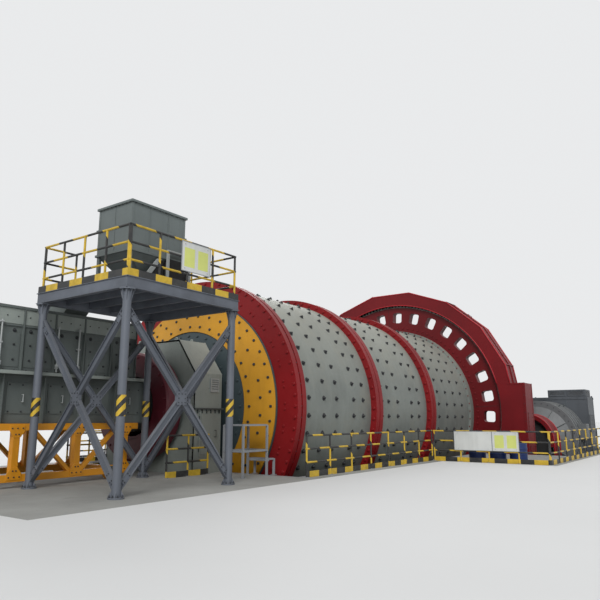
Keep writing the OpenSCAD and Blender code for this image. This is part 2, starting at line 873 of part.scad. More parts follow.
module motor() {
    shield_r = stator_r * 0.84;
    nose_r = stator_r * 0.42;
    nose_len = 180;
    ribs = 5;
    rib_t = 130;
    rib_h = 80;
    foot_w = 520;
    foot_inset = 120;
    foot_top = -600;
    translate([pinion_x, 0, 0]) {
        at_mill() translate([0, motor_nose_y, pinion_z]) rotate([-90, 0, 0]) rotate_extrude()
            polygon(concat([[0, 0], [nose_r, 0], [nose_r, nose_len], [shield_r, motor_shield_len]],
                           ribbed_frame(motor_shield_len, ribs, rib_t, rib_h),
                           [[0, motor_shield_len + stator_len]]));
        across(stator_y + rib_t, stator_len - 2 * rib_t, pinion_z) for (side = [-1, 1])
            difference() {
                translate([side * (stator_r - foot_w / 2 - foot_inset) - foot_w / 2, plinth_z - pinion_z])
                    square([foot_w, foot_top - (plinth_z - pinion_z)]);
                circle(stator_r - rib_h - 40);
            }
    }
}

module motors() {
    color([0.45, 0.47, 0.48]) both_sides() motor();
}

module motor_coolers() {
    hood_w = 1900;
    hood_h = 380;
    hood_inset = 100;
    rim = 20;
    rim_w = 60;
    rim_h = 120;
    inner_x = pinion_x + cooler_shift - cooler_w / 2;
    outer_x = inner_x + cooler_w;
    top = floor_z + cooler_top;
    color([0.42, 0.45, 0.47]) both_sides() {
        box_at([inner_x, cooler_y, plinth_z], [outer_x, cooler_y + cooler_len, top]);
        box_at([outer_x - hood_w, cooler_y + hood_inset, top - eps],
               [outer_x - hood_inset, cooler_y + cooler_len - hood_inset, top + hood_h]);
        for (y = [cooler_y - rim, cooler_y + cooler_len + rim - rim_w])
            box_at([inner_x - rim, y, top - rim_h], [outer_x + rim, y + rim_w, top]);
    }
}

// Feed chute car

module chute_box() {
    low_half = chute_half_w - chute_step;
    low_start_y = chute_y + 300;
    ledge = 90;
    ledge_w = 60;
    rim_h = 60;
    rib_t = 30;
    rib_w = 50;
    low_rib_w = 120;
    bays = 6;
    low_top = trolley_z + chute_low_h;
    color([0.33, 0.37, 0.37]) {
        box_at([-low_half, low_start_y, trolley_z], [low_half, low_box_end_y, low_top]);
        box_at([-chute_half_w, chute_y, low_top + ledge], [chute_half_w, chute_end_y, chute_top_z]);
        box_at([-chute_half_w - ledge_w, chute_y, low_top],
               [chute_half_w + ledge_w, low_box_end_y, low_top + ledge]);
        box_at([-chute_half_w - chute_rim_w, chute_y, chute_top_z - rim_h],
               [chute_half_w + chute_rim_w, chute_end_y, chute_top_z]);
        both_sides() for (i = [0 : bays]) {
            y = chute_y + i * (chute_len - rib_t) / bays;
            box_at([chute_half_w - eps, y, low_top + ledge - eps],
                   [chute_half_w + rib_w, y + rib_t, chute_top_z - rim_h + eps]);
        }
        both_sides() for (i = [0 : bays - 1]) {
            y = low_start_y + i * (low_box_end_y - low_start_y - rib_t) / (bays - 1);
            box_at([low_half - eps, y, trolley_z], [low_half + low_rib_w, y + rib_t, low_top + eps]);
        }
    }
}

module feed_spout() {
    start = low_box_end_y;
    reach = feed_casing_y + 100;
    flange_w = 90;
    flange_t = 60;
    color([0.30, 0.33, 0.33]) {
        at_mill() translate([0, start, axis_z]) rotate([-90, 0, 0]) difference() {
            union() {
                cylinder(r = spout_r, h = reach - start);
                cylinder(r = spout_r + flange_w, h = flange_t);
            }
            translate([0, 0, -eps]) cylinder(r = spout_r - plate_t, h = reach - start + 2 * eps);
        }
    }
}

trolley_bar = 150;
trolley_low = floor_z + 130;
trolley_start_y = chute_y + 60;
trolley_end_y = chute_end_y - 100;

module trolley_side() {
    bar = trolley_bar;
    low = trolley_low;
    first = trolley_start_y;
    last = trolley_end_y;
    reach = 300;
    brace_inset = 20;
    foot_len = 120;
    x = chute_half_w - bar;
    span = (last - first) / 3;
    box_at([x, first, trolley_z - bar], [x + bar, last + reach, trolley_z]);
    box_at([x, first, low], [x + bar, last, low + bar]);
    for (i = [0 : 3])
        box_at([x, first + i * span - (i == 3 ? bar : 0), low + bar - eps],
               [x + bar, first + i * span + (i == 3 ? 0 : bar), trolley_z - bar + eps]);
    for (i = [0 : 2]) {
        rise = trolley_z - low - 2 * bar;
        foot = first + i * span + (i == 1 ? span - bar : bar);
        lean = (span * 0.62) * (i == 1 ? -1 : 1);
        at_mill() translate([x + brace_inset, 0, 0]) rotate([90, 0, 90]) linear_extrude(bar - 2 * brace_inset)
            polygon([[foot, low + bar - eps], [foot + foot_len, low + bar - eps],
                     [foot + lean + foot_len, low + bar + rise + eps], [foot + lean, low + bar + rise + eps]]);
    }
}

module chute_trolley() {
    bar = trolley_bar;
    wheel_r = 170;
    wheel_inset = 15;
    bracket_half = 90;
    bracket_h = 30;
    rear_axle = 500;
    front_axle = 550;
    axle_y = [chute_y + rear_axle, chute_end_y - front_axle];
    low_half = chute_half_w - bar;
    color([0.86, 0.50, 0.05]) {
        both_sides() trolley_side();
        for (y = [trolley_start_y, trolley_end_y - bar])
            for (z = [trolley_low, trolley_z - bar])
                box_at([-low_half - eps, y, z], [low_half + eps, y + bar, z + bar]);
        both_sides() for (y = axle_y) {
            box_at([low_half + wheel_inset, y - bracket_half, trolley_low - bracket_h],
                   [chute_half_w - wheel_inset, y + bracket_half, trolley_low + eps]);
            at_mill() translate([low_half + wheel_inset, y, floor_z + wheel_r]) rotate([0, 90, 0])
                cylinder(r = wheel_r, h = bar - 2 * wheel_inset, $fn = 48);
        }
    }
}

// Feed platform

platform_x2 = platform_x + platform_w;
platform_y2 = -platform_y + platform_l;
leg_places = [for (x = [platform_x, platform_x2]) for (y = [-platform_y, platform_y2]) [x, y]];

module platform_legs() {
    foot_t = 30;
    fin_h = 220;
    fin_t = 16;
    fins = 8;
    under = deck_z - beam_h;
    color([0.40, 0.43, 0.48]) at_mill() for (p = leg_places) translate([p[0], p[1], 0]) {
        translate([0, 0, floor_z]) cylinder(r = leg_r, h = under - floor_z);
        for (z = [floor_z, under - foot_t])
            translate([0, 0, z]) cylinder(r = leg_foot_r, h = foot_t);
        for (i = [0 : fins - 1]) rotate(i * 360 / fins) translate([0, -fin_t / 2, under - foot_t + eps])
            rotate([-90, 0, 0]) linear_extrude(fin_t)
                polygon([[0, 0], [leg_foot_r - fin_t, 0], [leg_r, fin_h], [0, fin_h]]);
    }
}

// A bar's outline between two points [along, up] of an upright plane
module brace_bar(from, to, width) {
    run = to - from;
    translate(from) rotate(atan2(run[1], run[0])) translate([0, -width / 2]) square([norm(run), width]);
}

brace_low = 150;
brace_high = deck_h - beam_h - 380;

module brace_cross(span, width) {
    brace_bar([0, brace_low], [span, brace_high], width);
    brace_bar([0, brace_high], [span, brace_low], width);
}

// A cross of two channels, hollowed on both faces, with a plate where they meet
module brace_panel(span) {
    flange = 16;
    web = 14;
    groove = (brace_t - web) / 2;
    plate = brace_w * 2;
    plate_inset = 8;
    difference() {
        linear_extrude(brace_t) brace_cross(span, brace_w);
        for (z = [-eps, brace_t - groove])
            translate([0, 0, z]) linear_extrude(groove + eps) brace_cross(span, brace_w - 2 * flange);
    }
    translate([(span - plate) / 2, (brace_low + brace_high - plate) / 2, plate_inset])
        cube([plate, plate, brace_t - 2 * plate_inset]);
}

// The braces' ends are coped to the round legs
module platform_bracing() {
    seat = 0.6;
    color([0.40, 0.43, 0.48]) at_mill() translate([0, 0, floor_z]) difference() {
        union() {
            for (y = [-platform_y, platform_y2])
                translate([platform_x, y + brace_t / 2, 0]) rotate([90, 0, 0]) brace_panel(platform_w);
            for (x = [platform_x, platform_x2])
                translate([x - brace_t / 2, -platform_y, 0]) rotate([90, 0, 90]) brace_panel(platform_l);
        }
        for (p = leg_places) translate([p[0], p[1], 0]) cylinder(r = leg_r + seat, h = deck_h);
    }
}

module deck_area(grow) {
    translate([platform_x - grow, -platform_y - grow]) square([platform_w + 2 * grow, platform_l + 2 * grow]);
}

module platform_deck() {
    plate = 12;
    beam_w = 90;
    joists = 4;
    joist_w = 80;
    joist_h = 180;
    color([0.42, 0.45, 0.50]) at_mill() {
        translate([0, 0, deck_z - beam_h]) linear_extrude(beam_h - plate) difference() {
            deck_area(deck_edge);
            deck_area(deck_edge - beam_w);
        }
        translate([0, 0, deck_z - plate]) linear_extrude(plate) deck_area(deck_edge);
        for (i = [1 : joists])
            translate([platform_x - deck_edge + beam_w - eps,
                       -platform_y + i * platform_l / (joists + 1) - joist_w / 2, deck_z - joist_h])
                cube([platform_w + 2 * (deck_edge - beam_w + eps), joist_w, joist_h - plate / 2]);
    }
}

module platform_toe_boards() {
    board = 10;
    cut = duct_w + 40;
    past = 50;
    color([0.80, 0.66, 0.12]) at_mill() translate([0, 0, deck_z]) linear_extrude(toe_h) difference() {
        deck_area(deck_edge);
        deck_area(deck_edge - board);
        translate([platform_x - deck_edge - past, duct_mid_y - cut / 2]) square([2 * past, cut]);
    }
}

// A straight run of pipe railing from the origin along +X, as long as it says
module pipe_rail(length, height, rails, post_list, base = 0) {
    for (i = [1 : rails])
        translate([0, 0, base + (height - base) * i / rails - pipe_r]) rotate([0, 90, 0])
            cylinder(r = pipe_r, h = length, $fn = 8);
    for (x = post_list)
        translate([min(max(x, pipe_r), length - pipe_r), 0, 0])
            cylinder(r = pipe_r, h = height - pipe_r, $fn = 8);
}

function post_places(length, pitch) =
    let (bays = max(1, ceil(length / pitch)))
    [for (i = [0 : bays]) i * length / bays];

module deck_rail(length) {
    pitch = 900;
    pipe_rail(length, platform_rail_h, 3, post_places(length, pitch));
}

module platform_railing() {
    inset = deck_edge - 60;
    x = platform_x - inset;
    y = -platform_y - inset;
    w = platform_w + 2 * inset;
    l = platform_l + 2 * inset;
    short = duct_mid_y - duct_w / 2 - 30 - y;
    color([0.80, 0.66, 0.12]) at_mill() translate([0, 0, deck_z]) {
        translate([x, y, 0]) deck_rail(w);
        translate([x + w, y, 0]) rotate(90) deck_rail(l);
        translate([x, y + l, 0]) deck_rail(w);
        translate([x, y, 0]) rotate(90) deck_rail(short);
    }
}

// Hopper on the platform, and the duct from it down to the chute car

module hopper() {
    outlet = 640;
    leg = 70;
    rim_w = 40;
    rim_h = 50;
    top = hopper_z + hopper_box_h;
    low = hopper_z - hopper_taper_h;
    mid_x = hopper_x + hopper_w / 2;
    mid_y = hopper_y + hopper_l / 2;
    inside_w = hopper_w - 2 * plate_t;
    inside_l = hopper_l - 2 * plate_t;
    color([0.42, 0.47, 0.46]) at_mill() {
        difference() {
            translate([hopper_x, hopper_y, hopper_z]) cube([hopper_w, hopper_l, hopper_box_h]);
            translate([hopper_x + plate_t, hopper_y + plate_t, hopper_z - eps])
                cube([inside_w, inside_l, hopper_box_h + 2 * eps]);
        }
        translate([mid_x, mid_y, 0]) difference() {
            hull() {
                translate([-hopper_w / 2, -hopper_l / 2, hopper_z - 2]) cube([hopper_w, hopper_l, 2]);
                translate([-outlet / 2, -outlet / 2, low]) cube([outlet, outlet, 2]);
            }
            hull() {
                translate([-inside_w / 2, -inside_l / 2, hopper_z - 1]) cube([inside_w, inside_l, 3]);
                translate([-outlet / 2 + plate_t, -outlet / 2 + plate_t, low - 2])
                    cube([outlet - 2 * plate_t, outlet - 2 * plate_t, 3]);
            }
        }
        for (x = [hopper_x, hopper_x + hopper_w - leg]) for (y = [hopper_y, hopper_y + hopper_l - leg])
            translate([x, y, deck_z]) cube([leg, leg, hopper_z - deck_z]);
        translate([hopper_x - rim_w, hopper_y - rim_w, top - rim_h]) difference() {
            cube([hopper_w + 2 * rim_w, hopper_l + 2 * rim_w, rim_h]);
            translate([rim_w + plate_t, rim_w + plate_t, -eps]) cube([inside_w, inside_l, rim_h + 2 * eps]);
        }
    }
}

module hopper_duct() {
    low = hopper_z - hopper_taper_h;
    duct_half = 320;
    lip = 60;
    landing = 700;
    rise = 330;
    from_x = hopper_x + hopper_w / 2 + duct_half;
    to_x = chute_half_w - chute_step;
    deep = low - deck_z;
    foot = chute_top_z;
    color([0.34, 0.39, 0.38]) at_mill() translate([0, duct_mid_y + duct_w / 2, 0]) rotate([90, 0, 0])
        linear_extrude(duct_w)
            polygon([[from_x, low], [from_x, deck_z], [platform_x - deck_edge - lip, deck_z],
                     [to_x, foot + lip], [to_x, foot], [to_x - landing, foot], [to_x - landing, foot + rise],
                     [platform_x - deck_edge - lip, deck_z + deep], [from_x - 2 * duct_half, low]]);
}

// Floor fences

cross_fence_y = cross_wall_y + 100;

module fence_run(length) {
    board = 10;
    pipe_rail(length, fence_h, 3, post_places(length, post_pitch), 60);
    translate([0, -board / 2, 0]) cube([length, board, toe_h]);
}

module drum_fence() {
    at_mill() translate([fence_x, -feed_block_gap, floor_z]) rotate(90)
        fence_run(cross_fence_y + feed_block_gap);
}

module drive_fence() {
    corner_gap = 60;
    end_gap = 300;
    at_mill() translate([fence_x + corner_gap, cross_fence_y, floor_z])
        fence_run(drive_fence_x - fence_x - corner_gap);
    at_mill() translate([drive_fence_x, cross_fence_y, floor_z]) rotate(90)
        fence_run(end_wall_y - cross_fence_y - end_gap);
}

module drum_fences() {
    color([0.80, 0.66, 0.12]) both_sides() drum_fence();
}

module drive_fences() {
    color([0.80, 0.66, 0.12]) both_sides() drive_fence();
}

module feed_fences() {
    aisle = 250;
    brace_gap = 80;
    length = 1500;
    color([0.80, 0.66, 0.12]) both_sides() at_mill()
        translate([casing_half_w + aisle, platform_y2 + brace_t / 2 + brace_gap, floor_z])
            rotate(90) fence_run(length);
}

// Stepped steel stand beside the feed bearing
module access_stand() {
    x = 2950;
    y = -1850;
    w = 700;
    long = 1000;
    top = 1300;
    tread = 30;
    rail = 620;
    step = 420;
    step_len = 300;
    post = 50;
    color([0.50, 0.52, 0.54]) at_mill() translate([x, y, floor_z]) {
        for (px = [0, w - post]) for (py = [0, long - post])
            translate([px, py, 0]) cube([post, post, top - tread]);
        translate([0, 0, top - tread]) cube([w, long, tread]);
        for (px = [0, w - post])
            translate([px, post - eps, rail]) cube([post, long - 2 * post + 2 * eps, post]);
        for (py = [0, long - post])
            translate([post - eps, py, rail]) cube([w - 2 * post + 2 * eps, post, post]);
        translate([0, long, step - tread]) cube([w, step_len, tread]);
        for (px = [0, w - post])
            translate([px, long + step_len - post, 0]) cube([post, post, step - tread]);
        translate([0, long - eps, step - 2 * tread]) cube([w, post, tread + eps]);
    }
}

// Blue oil drums on a tray behind the cross fence
module lube_drums() {
    drum_r = 290;
    drum_h = 560;
    drum_pitch = 720;
    hoop_h = 30;
    hoop_r = drum_r + 12;
    tray_w = 2200;
    tray_l = 760;
    tray_h = 60;
    fence_gap = 900;
    aisle = 600;
    x = drive_fence_x - fence_gap - tray_w;
    y = cross_fence_y + aisle;
    color([0.10, 0.22, 0.50]) at_mill() translate([x, y, floor_z]) {
        cube([tray_w, tray_l, tray_h]);
        for (i = [-1 : 1]) translate([tray_w / 2 + i * drum_pitch, tray_l / 2, tray_h - eps]) {
            cylinder(r = drum_r, h = drum_h + eps);
            for (z = [drum_h / 3, drum_h * 2 / 3]) translate([0, 0, z]) cylinder(r = hoop_r, h = hoop_h);
        }
    }
}

base_slab();
feed_block();
pit_walls();
drive_aprons();
bay_walls();
discharge_pier();
drive_plinths();
trunnion_bearings();
bearing_casings();
gear_guard_hood();
gear_guard_boxes();
gear_guard_sump();
pinion_bearings();
clutch_guards();
motors();
motor_coolers();
chute_box();
feed_spout();
chute_trolley();
platform_legs();
platform_bracing();
platform_deck();
platform_toe_boards();
platform_railing();
hopper();
hopper_duct();
drum_fences();
drive_fences();
feed_fences();
access_stand();
lube_drums();
feed_flange();
can_1();
can_2();
can_3();
can_flanges();
feed_head();
head_ring();
feed_trunnion();
girth_gear();
discharge_head();
discharge_trunnion();
pinion_aisle();
clutch_aisle();
pinion_far();
clutch_far();
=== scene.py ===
"""Dresses the geared ball mill: finishes, bolts, seams, plates and the studio round it."""
import json
import math

import bpy
from mathutils import Matrix, Vector


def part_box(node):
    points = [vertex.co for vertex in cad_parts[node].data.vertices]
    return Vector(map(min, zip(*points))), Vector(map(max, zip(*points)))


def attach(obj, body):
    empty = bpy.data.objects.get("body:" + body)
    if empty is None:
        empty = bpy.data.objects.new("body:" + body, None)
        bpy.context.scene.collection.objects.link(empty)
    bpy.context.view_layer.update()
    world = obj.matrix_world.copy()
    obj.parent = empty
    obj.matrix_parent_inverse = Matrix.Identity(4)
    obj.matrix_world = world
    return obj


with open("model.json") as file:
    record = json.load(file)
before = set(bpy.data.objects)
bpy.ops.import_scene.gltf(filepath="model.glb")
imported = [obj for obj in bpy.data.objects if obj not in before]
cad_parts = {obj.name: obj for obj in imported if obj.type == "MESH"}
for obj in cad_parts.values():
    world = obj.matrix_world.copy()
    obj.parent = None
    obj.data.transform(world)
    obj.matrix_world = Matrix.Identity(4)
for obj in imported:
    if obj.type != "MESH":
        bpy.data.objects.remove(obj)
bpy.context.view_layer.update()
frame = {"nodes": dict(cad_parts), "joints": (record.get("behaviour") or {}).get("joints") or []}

# Places taken from the frame, in metres
JOINTS = {joint["name"]: joint for joint in frame["joints"]}
AXIS_Z = JOINTS["drum_spin"]["pos_m"][2]
PINION_X = JOINTS["aisle_pinion_spin"]["pos_m"][0]
PINION_Z = JOINTS["aisle_pinion_spin"]["pos_m"][2]
FLOOR_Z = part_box("feed_block")[1][2]
MILL_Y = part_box("feed_flange")[0][1]
DECK_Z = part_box("platform_deck")[1][2]
SHELL_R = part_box("can_1")[1][0]
FEED_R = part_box("feed_flange")[1][0]

# The camera stands at the photo's viewpoint, turned and zoomed for a square picture
EYE = Vector((13.80, MILL_Y - 13.569, FLOOR_Z + 1.45))
CAMERA_YAW = 0.622
CAMERA_PITCH = 0.1956
LENS_MM = 36.0

# Paint colours, linear
SHELL_GREEN = (0.172, 0.188, 0.172)
FLANGE_RED = (0.205, 0.007, 0.009)
GUARD_RED = (0.150, 0.005, 0.008)
RING_YELLOW = (0.500, 0.235, 0.006)
HEAD_SLATE = (0.032, 0.050, 0.056)
CASING_GREEN = (0.255, 0.285, 0.262)
STEEL_GREY = (0.105, 0.117, 0.140)
CHUTE_GREY = (0.100, 0.117, 0.111)
HOPPER_GREY = (0.128, 0.150, 0.147)
TROLLEY_ORANGE = (0.650, 0.265, 0.008)
RAIL_YELLOW = (0.620, 0.410, 0.030)
MOTOR_GREY = (0.125, 0.132, 0.135)
COOLER_GREY = (0.070, 0.078, 0.088)
MAROON = (0.105, 0.010, 0.020)
LUBE_BLUE = (0.010, 0.030, 0.130)
BOLT_DARK = (0.018, 0.020, 0.022)
SOOT = (0.012, 0.012, 0.012)
DUST = (0.330, 0.310, 0.270)
SHELL_DUST = (0.420, 0.405, 0.330)
WARM_STAIN = (0.250, 0.225, 0.160)
BEARING_GREY = (0.055, 0.068, 0.068)
# Painted highlight: the beads get a red brighter than the guard's own paint, standing in for light caught on
# their rolled edges
BEAD_HIGHLIGHT_RED = (0.360, 0.016, 0.024)
NOTICE_YELLOW = (0.560, 0.600, 0.170)
TURNED_STEEL = (0.340, 0.330, 0.310)
CONCRETE = (0.300, 0.300, 0.280)
BAND_BLACK, BAND_WORN = (0.016, 0.017, 0.018), (0.055, 0.052, 0.045)
TAPE_BLACK, TAPE_WORN = (0.014, 0.014, 0.015), (0.070, 0.066, 0.055)
RUBBED_BROWN = (0.160, 0.130, 0.090)
BARE_TOOTH, GREASED_TOOTH = (0.200, 0.190, 0.180), (0.022, 0.019, 0.016)
STUDIO_PALE, STUDIO_PALER, STUDIO_FLOOR = (0.65, 0.65, 0.64), (0.67, 0.67, 0.66), (0.66, 0.66, 0.65)
PLATE_WHITE = (0.560, 0.570, 0.550)
GALVANIZED = (0.270, 0.285, 0.300)
PALE_GREY = (0.330, 0.350, 0.345)

# Shine of the red paints, and the width of one stripe of the hazard tape
RED_SPECULAR = 0.28
TAPE_PITCH = 0.115

# Directions: up and down, towards the aisle, the feed end and the discharge end
UP = (0.0, 0.0, 1.0)
DOWN = (0.0, 0.0, -1.0)
OUTWARD = (1.0, 0.0, 0.0)
AXIAL_FRONT = (0.0, -1.0, 0.0)
AXIAL_BACK = (0.0, 1.0, 0.0)
# Signs of X on the aisle side and the far side
SIDES = (1.0, -1.0)


class Tree:
    """Builds the node tree of one material."""

    def __init__(self, name, color, roughness, metallic=0.0, specular=0.5):
        self.material = bpy.data.materials.new(name)
        self.material.use_nodes = True
        self.material.diffuse_color = (*color, 1.0)
        self.nodes = self.material.node_tree.nodes
        self.links = self.material.node_tree.links
        self.shader = self.nodes["Principled BSDF"]
        self.shader.inputs["Base Color"].default_value = (*color, 1.0)
        self.shader.inputs["Roughness"].default_value = roughness
        self.shader.inputs["Metallic"].default_value = metallic
        self.shader.inputs["Specular IOR Level"].default_value = specular
        self.coords = self.nodes.new("ShaderNodeTexCoord").outputs["Object"]

    def node(self, kind, settings=None, **inputs):
        made = self.nodes.new(kind)
        for key, value in (settings or {}).items():
            setattr(made, key, value)
        for key, value in inputs.items():
            self.feed(made.inputs[key.replace("_", " ")], value)
        return made

    def feed(self, socket, value):
        if isinstance(value, bpy.types.NodeSocket):
            self.links.new(value, socket)
        else:
            socket.default_value = value

    def noise(self, scale, detail=4.0, roughness=0.55, coords=None):
        made = self.node("ShaderNodeTexNoise", None, Vector=coords or self.coords, Scale=scale,
                         Detail=detail, Roughness=roughness)
        return made.outputs["Fac"]

    def stretch(self, scale):
        made = self.node("ShaderNodeMapping", None, Vector=self.coords)
        made.inputs["Scale"].default_value = scale
        return made.outputs["Vector"]

    def ramp(self, value, low, high):
        made = self.node("ShaderNodeMapRange", None, Value=value)
        made.inputs["From Min"].default_value = low
        made.inputs["From Max"].default_value = high
        return made.outputs["Result"]

    def math(self, operation, first, second=0.0):
        made = self.nodes.new("ShaderNodeMath")
        made.operation = operation
        self.feed(made.inputs[0], first)
        self.feed(made.inputs[1], second)
        return made.outputs[0]

    def mix(self, factor, first, second):
        made = self.nodes.new("ShaderNodeMix")
        made.data_type = "RGBA"
        self.feed(made.inputs["Factor"], factor)
        for socket, value in ((made.inputs[6], first), (made.inputs[7], second)):
            self.feed(socket, value if isinstance(value, bpy.types.NodeSocket) else (*value, 1.0))
        return made.outputs[2]

    def tones(self, value, low, high, color, dark, light):
        """A colour that runs from a darker to a lighter tone as a value rises."""
        return self.mix(self.ramp(value, low, high), shade(color, dark), shade(color, light))

    def over(self, base, color, value, low, high, share):
        """Lays a colour over the base where a value is high, at most by a share."""
        return self.mix(self.math("MULTIPLY", self.ramp(value, low, high), share), base, color)

    def stripes(self, value, pitch):
        """One for every other band along a value, zero between them."""
        return self.math("GREATER_THAN", self.math("PINGPONG", self.math("DIVIDE", value, pitch), 1.0), 0.5)

    def axis(self, letter):
        made = self.node("ShaderNodeSeparateXYZ", None, Vector=self.coords)
        return made.outputs[letter]

    def upward(self):
        geometry = self.nodes.new("ShaderNodeNewGeometry")
        made = self.node("ShaderNodeSeparateXYZ", None, Vector=geometry.outputs["Normal"])
        return made.outputs["Z"]

    def color(self, value):
        self.feed(self.shader.inputs["Base Color"], value)

    def rough(self, value, low, high):
        made = self.node("ShaderNodeMapRange", None, Value=value)
        made.inputs["To Min"].default_value = low
        made.inputs["To Max"].default_value = high
        self.feed(self.shader.inputs["Roughness"], made.outputs["Result"])

    def bump(self, height, strength, distance, radius=0.0):
        made = self.node("ShaderNodeBump", None, Height=height, Strength=strength, Distance=distance)
        if radius:
            soft = self.node("ShaderNodeBevel", {"samples": 4}, Radius=radius)
            self.feed(made.inputs["Normal"], soft.outputs["Normal"])
        self.feed(self.shader.inputs["Normal"], made.outputs["Normal"])


def shade(color, factor):
    return tuple(min(1.0, channel * factor) for channel in color)


def paint(name, color, roughness=0.42, dust=0.35, streak=0.25, grime=0.5, radius=0.012, specular=0.5):
    """Brushed or sprayed plant paint: faded patches, run-down streaks, dust on top and grime in spots."""
    tree = Tree(name, color, roughness, 0.0, specular)
    patches = tree.noise(0.55, 5.0)
    base = tree.tones(patches, 0.30, 0.72, color, 0.80, 1.16)
    runs = tree.noise(1.0, 4.0, 0.6, tree.stretch((3.2, 3.2, 0.35)))
    base = tree.over(base, shade(color, 0.52), runs, 0.52, 0.80, streak)
    specks = tree.noise(9.0, 6.0, 0.7)
    base = tree.over(base, shade(color, 0.45), specks, 0.60, 0.78, grime)
    top = tree.ramp(tree.upward(), 0.25, 0.95)
    settled = tree.math("MULTIPLY", top, tree.ramp(tree.noise(2.3, 5.0), 0.25, 0.75))
    base = tree.mix(tree.math("MULTIPLY", settled, dust), base, DUST)
    tree.color(base)
    tree.rough(specks, roughness - 0.10, roughness + 0.22)
    tree.bump(tree.noise(38.0, 3.0), 0.10, 0.004, radius)
    return tree.material


def shell_paint():
    """Sprayed shell paint with dust on top, brownish patches and faint rolling marks."""
    tree = Tree("shell_paint", SHELL_GREEN, 0.50)
    patches = tree.noise(0.42, 6.0, 0.6)
    base = tree.tones(patches, 0.32, 0.70, SHELL_GREEN, 0.76, 1.22)
    warm = tree.noise(0.9, 5.0, 0.65)
    base = tree.over(base, WARM_STAIN, warm, 0.50, 0.85, 0.45)
    blotch = tree.noise(3.4, 7.0, 0.72)
    base = tree.over(base, shade(SHELL_GREEN, 0.50), blotch, 0.55, 0.80, 0.38)
    rolled = tree.noise(1.0, 3.0, 0.5, tree.stretch((0.9, 6.0, 0.9)))
    base = tree.over(base, shade(SHELL_GREEN, 1.45), rolled, 0.45, 0.75, 0.22)
    top = tree.ramp(tree.upward(), 0.15, 0.95)
    base = tree.mix(tree.math("MULTIPLY", top, 0.42), base, SHELL_DUST)
    tree.color(base)
    tree.rough(blotch, 0.40, 0.70)
    tree.bump(tree.noise(14.0, 5.0), 0.16, 0.006, 0.010)
    return tree.material


def concrete():
    """Cast concrete with cloudy tones, pores and damp patches."""
    tree = Tree("concrete", CONCRETE, 0.85)
    clouds = tree.noise(0.35, 7.0, 0.62)
    base = tree.tones(clouds, 0.30, 0.72, CONCRETE, 0.72, 1.15)
    pores = tree.noise(26.0, 6.0, 0.7)
    base = tree.over(base, shade(CONCRETE, 0.48), pores, 0.58, 0.74, 0.45)
    damp = tree.noise(1.1, 5.0, 0.7, tree.stretch((1.0, 1.0, 0.4)))
    base = tree.over(base, shade(CONCRETE, 0.42), damp, 0.56, 0.80, 0.5)
    tree.color(base)
    tree.rough(clouds, 0.72, 0.95)
    tree.bump(pores, 0.30, 0.006, 0.02)
    return tree.material


def banded(name, pitch, plate_pitch, plate_z):
    """Yellow railing paint with black bands along rails and posts, and blocks on the kick plates."""
    tree = Tree(name, RAIL_YELLOW, 0.45)
    total = tree.math("ADD", tree.math("ADD", tree.axis("X"), tree.axis("Y")), tree.axis("Z"))
    bands = tree.stripes(total, pitch)
    along = tree.math("ADD", tree.axis("X"), tree.axis("Y"))
    blocks = tree.stripes(along, plate_pitch)
    low = tree.math("LESS_THAN", tree.axis("Z"), plate_z)
    picked = tree.math("ADD", tree.math("MULTIPLY", low, blocks),
                       tree.math("MULTIPLY", tree.math("SUBTRACT", 1.0, low), bands))
    worn = tree.noise(6.0, 6.0, 0.7)
    yellow = tree.mix(tree.ramp(worn, 0.35, 0.75), RAIL_YELLOW, shade(RAIL_YELLOW, 0.62))
    dark = tree.mix(tree.ramp(worn, 0.45, 0.80), BAND_BLACK, BAND_WORN)
    base = tree.mix(picked, yellow, dark)
    tree.color(tree.over(base, RUBBED_BROWN, tree.noise(23.0, 5.0, 0.75), 0.66, 0.80, 0.5))
    tree.rough(worn, 0.34, 0.62)
    tree.bump(tree.noise(60.0, 3.0), 0.08, 0.002)
    return tree.material


def machined(name, color, roughness=0.32, metallic=0.85):
    """Turned or oiled steel with fine rings and smears of grease."""
    tree = Tree(name, color, roughness, metallic)
    rings = tree.noise(1.0, 3.0, 0.5, tree.stretch((2.0, 90.0, 2.0)))
    smear = tree.noise(3.0, 6.0, 0.7)
    base = tree.tones(rings, 0.35, 0.65, color, 0.82, 1.12)
    tree.color(tree.over(base, shade(color, 0.30), smear, 0.52, 0.75, 0.7))
    tree.rough(smear, roughness - 0.08, roughness + 0.25)
    tree.bump(rings, 0.05, 0.002)
    return tree.material


def gear_paint_with_painted_shade(tooth_radius):
    """Red web and rim toned darker as painted shade from the guard, with bare greased teeth beyond a radius
    about the mill axis.
    """
    tree = Tree("gear_paint_with_painted_shade", GUARD_RED, 0.45, 0.0, RED_SPECULAR)
    height = tree.math("SUBTRACT", tree.axis("Z"), AXIS_Z)
    square = tree.math("ADD", tree.math("POWER", tree.axis("X"), 2.0), tree.math("POWER", height, 2.0))
    outside = tree.math("GREATER_THAN", tree.math("SQRT", square), tooth_radius)
    patches = tree.noise(0.8, 5.0)
    # Painted shade: this red runs darker than the guard's own red and stands in for the guard's shadow on the
    # web
    red = tree.tones(patches, 0.30, 0.72, GUARD_RED, 0.66, 0.95)
    grease = tree.noise(7.0, 5.0, 0.7)
    teeth = tree.mix(tree.ramp(grease, 0.40, 0.68), BARE_TOOTH, GREASED_TOOTH)
    tree.color(tree.mix(outside, red, teeth))
    tree.rough(grease, 0.26, 0.58)
    tree.bump(tree.noise(30.0, 3.0), 0.10, 0.004, 0.010)
    return tree.material


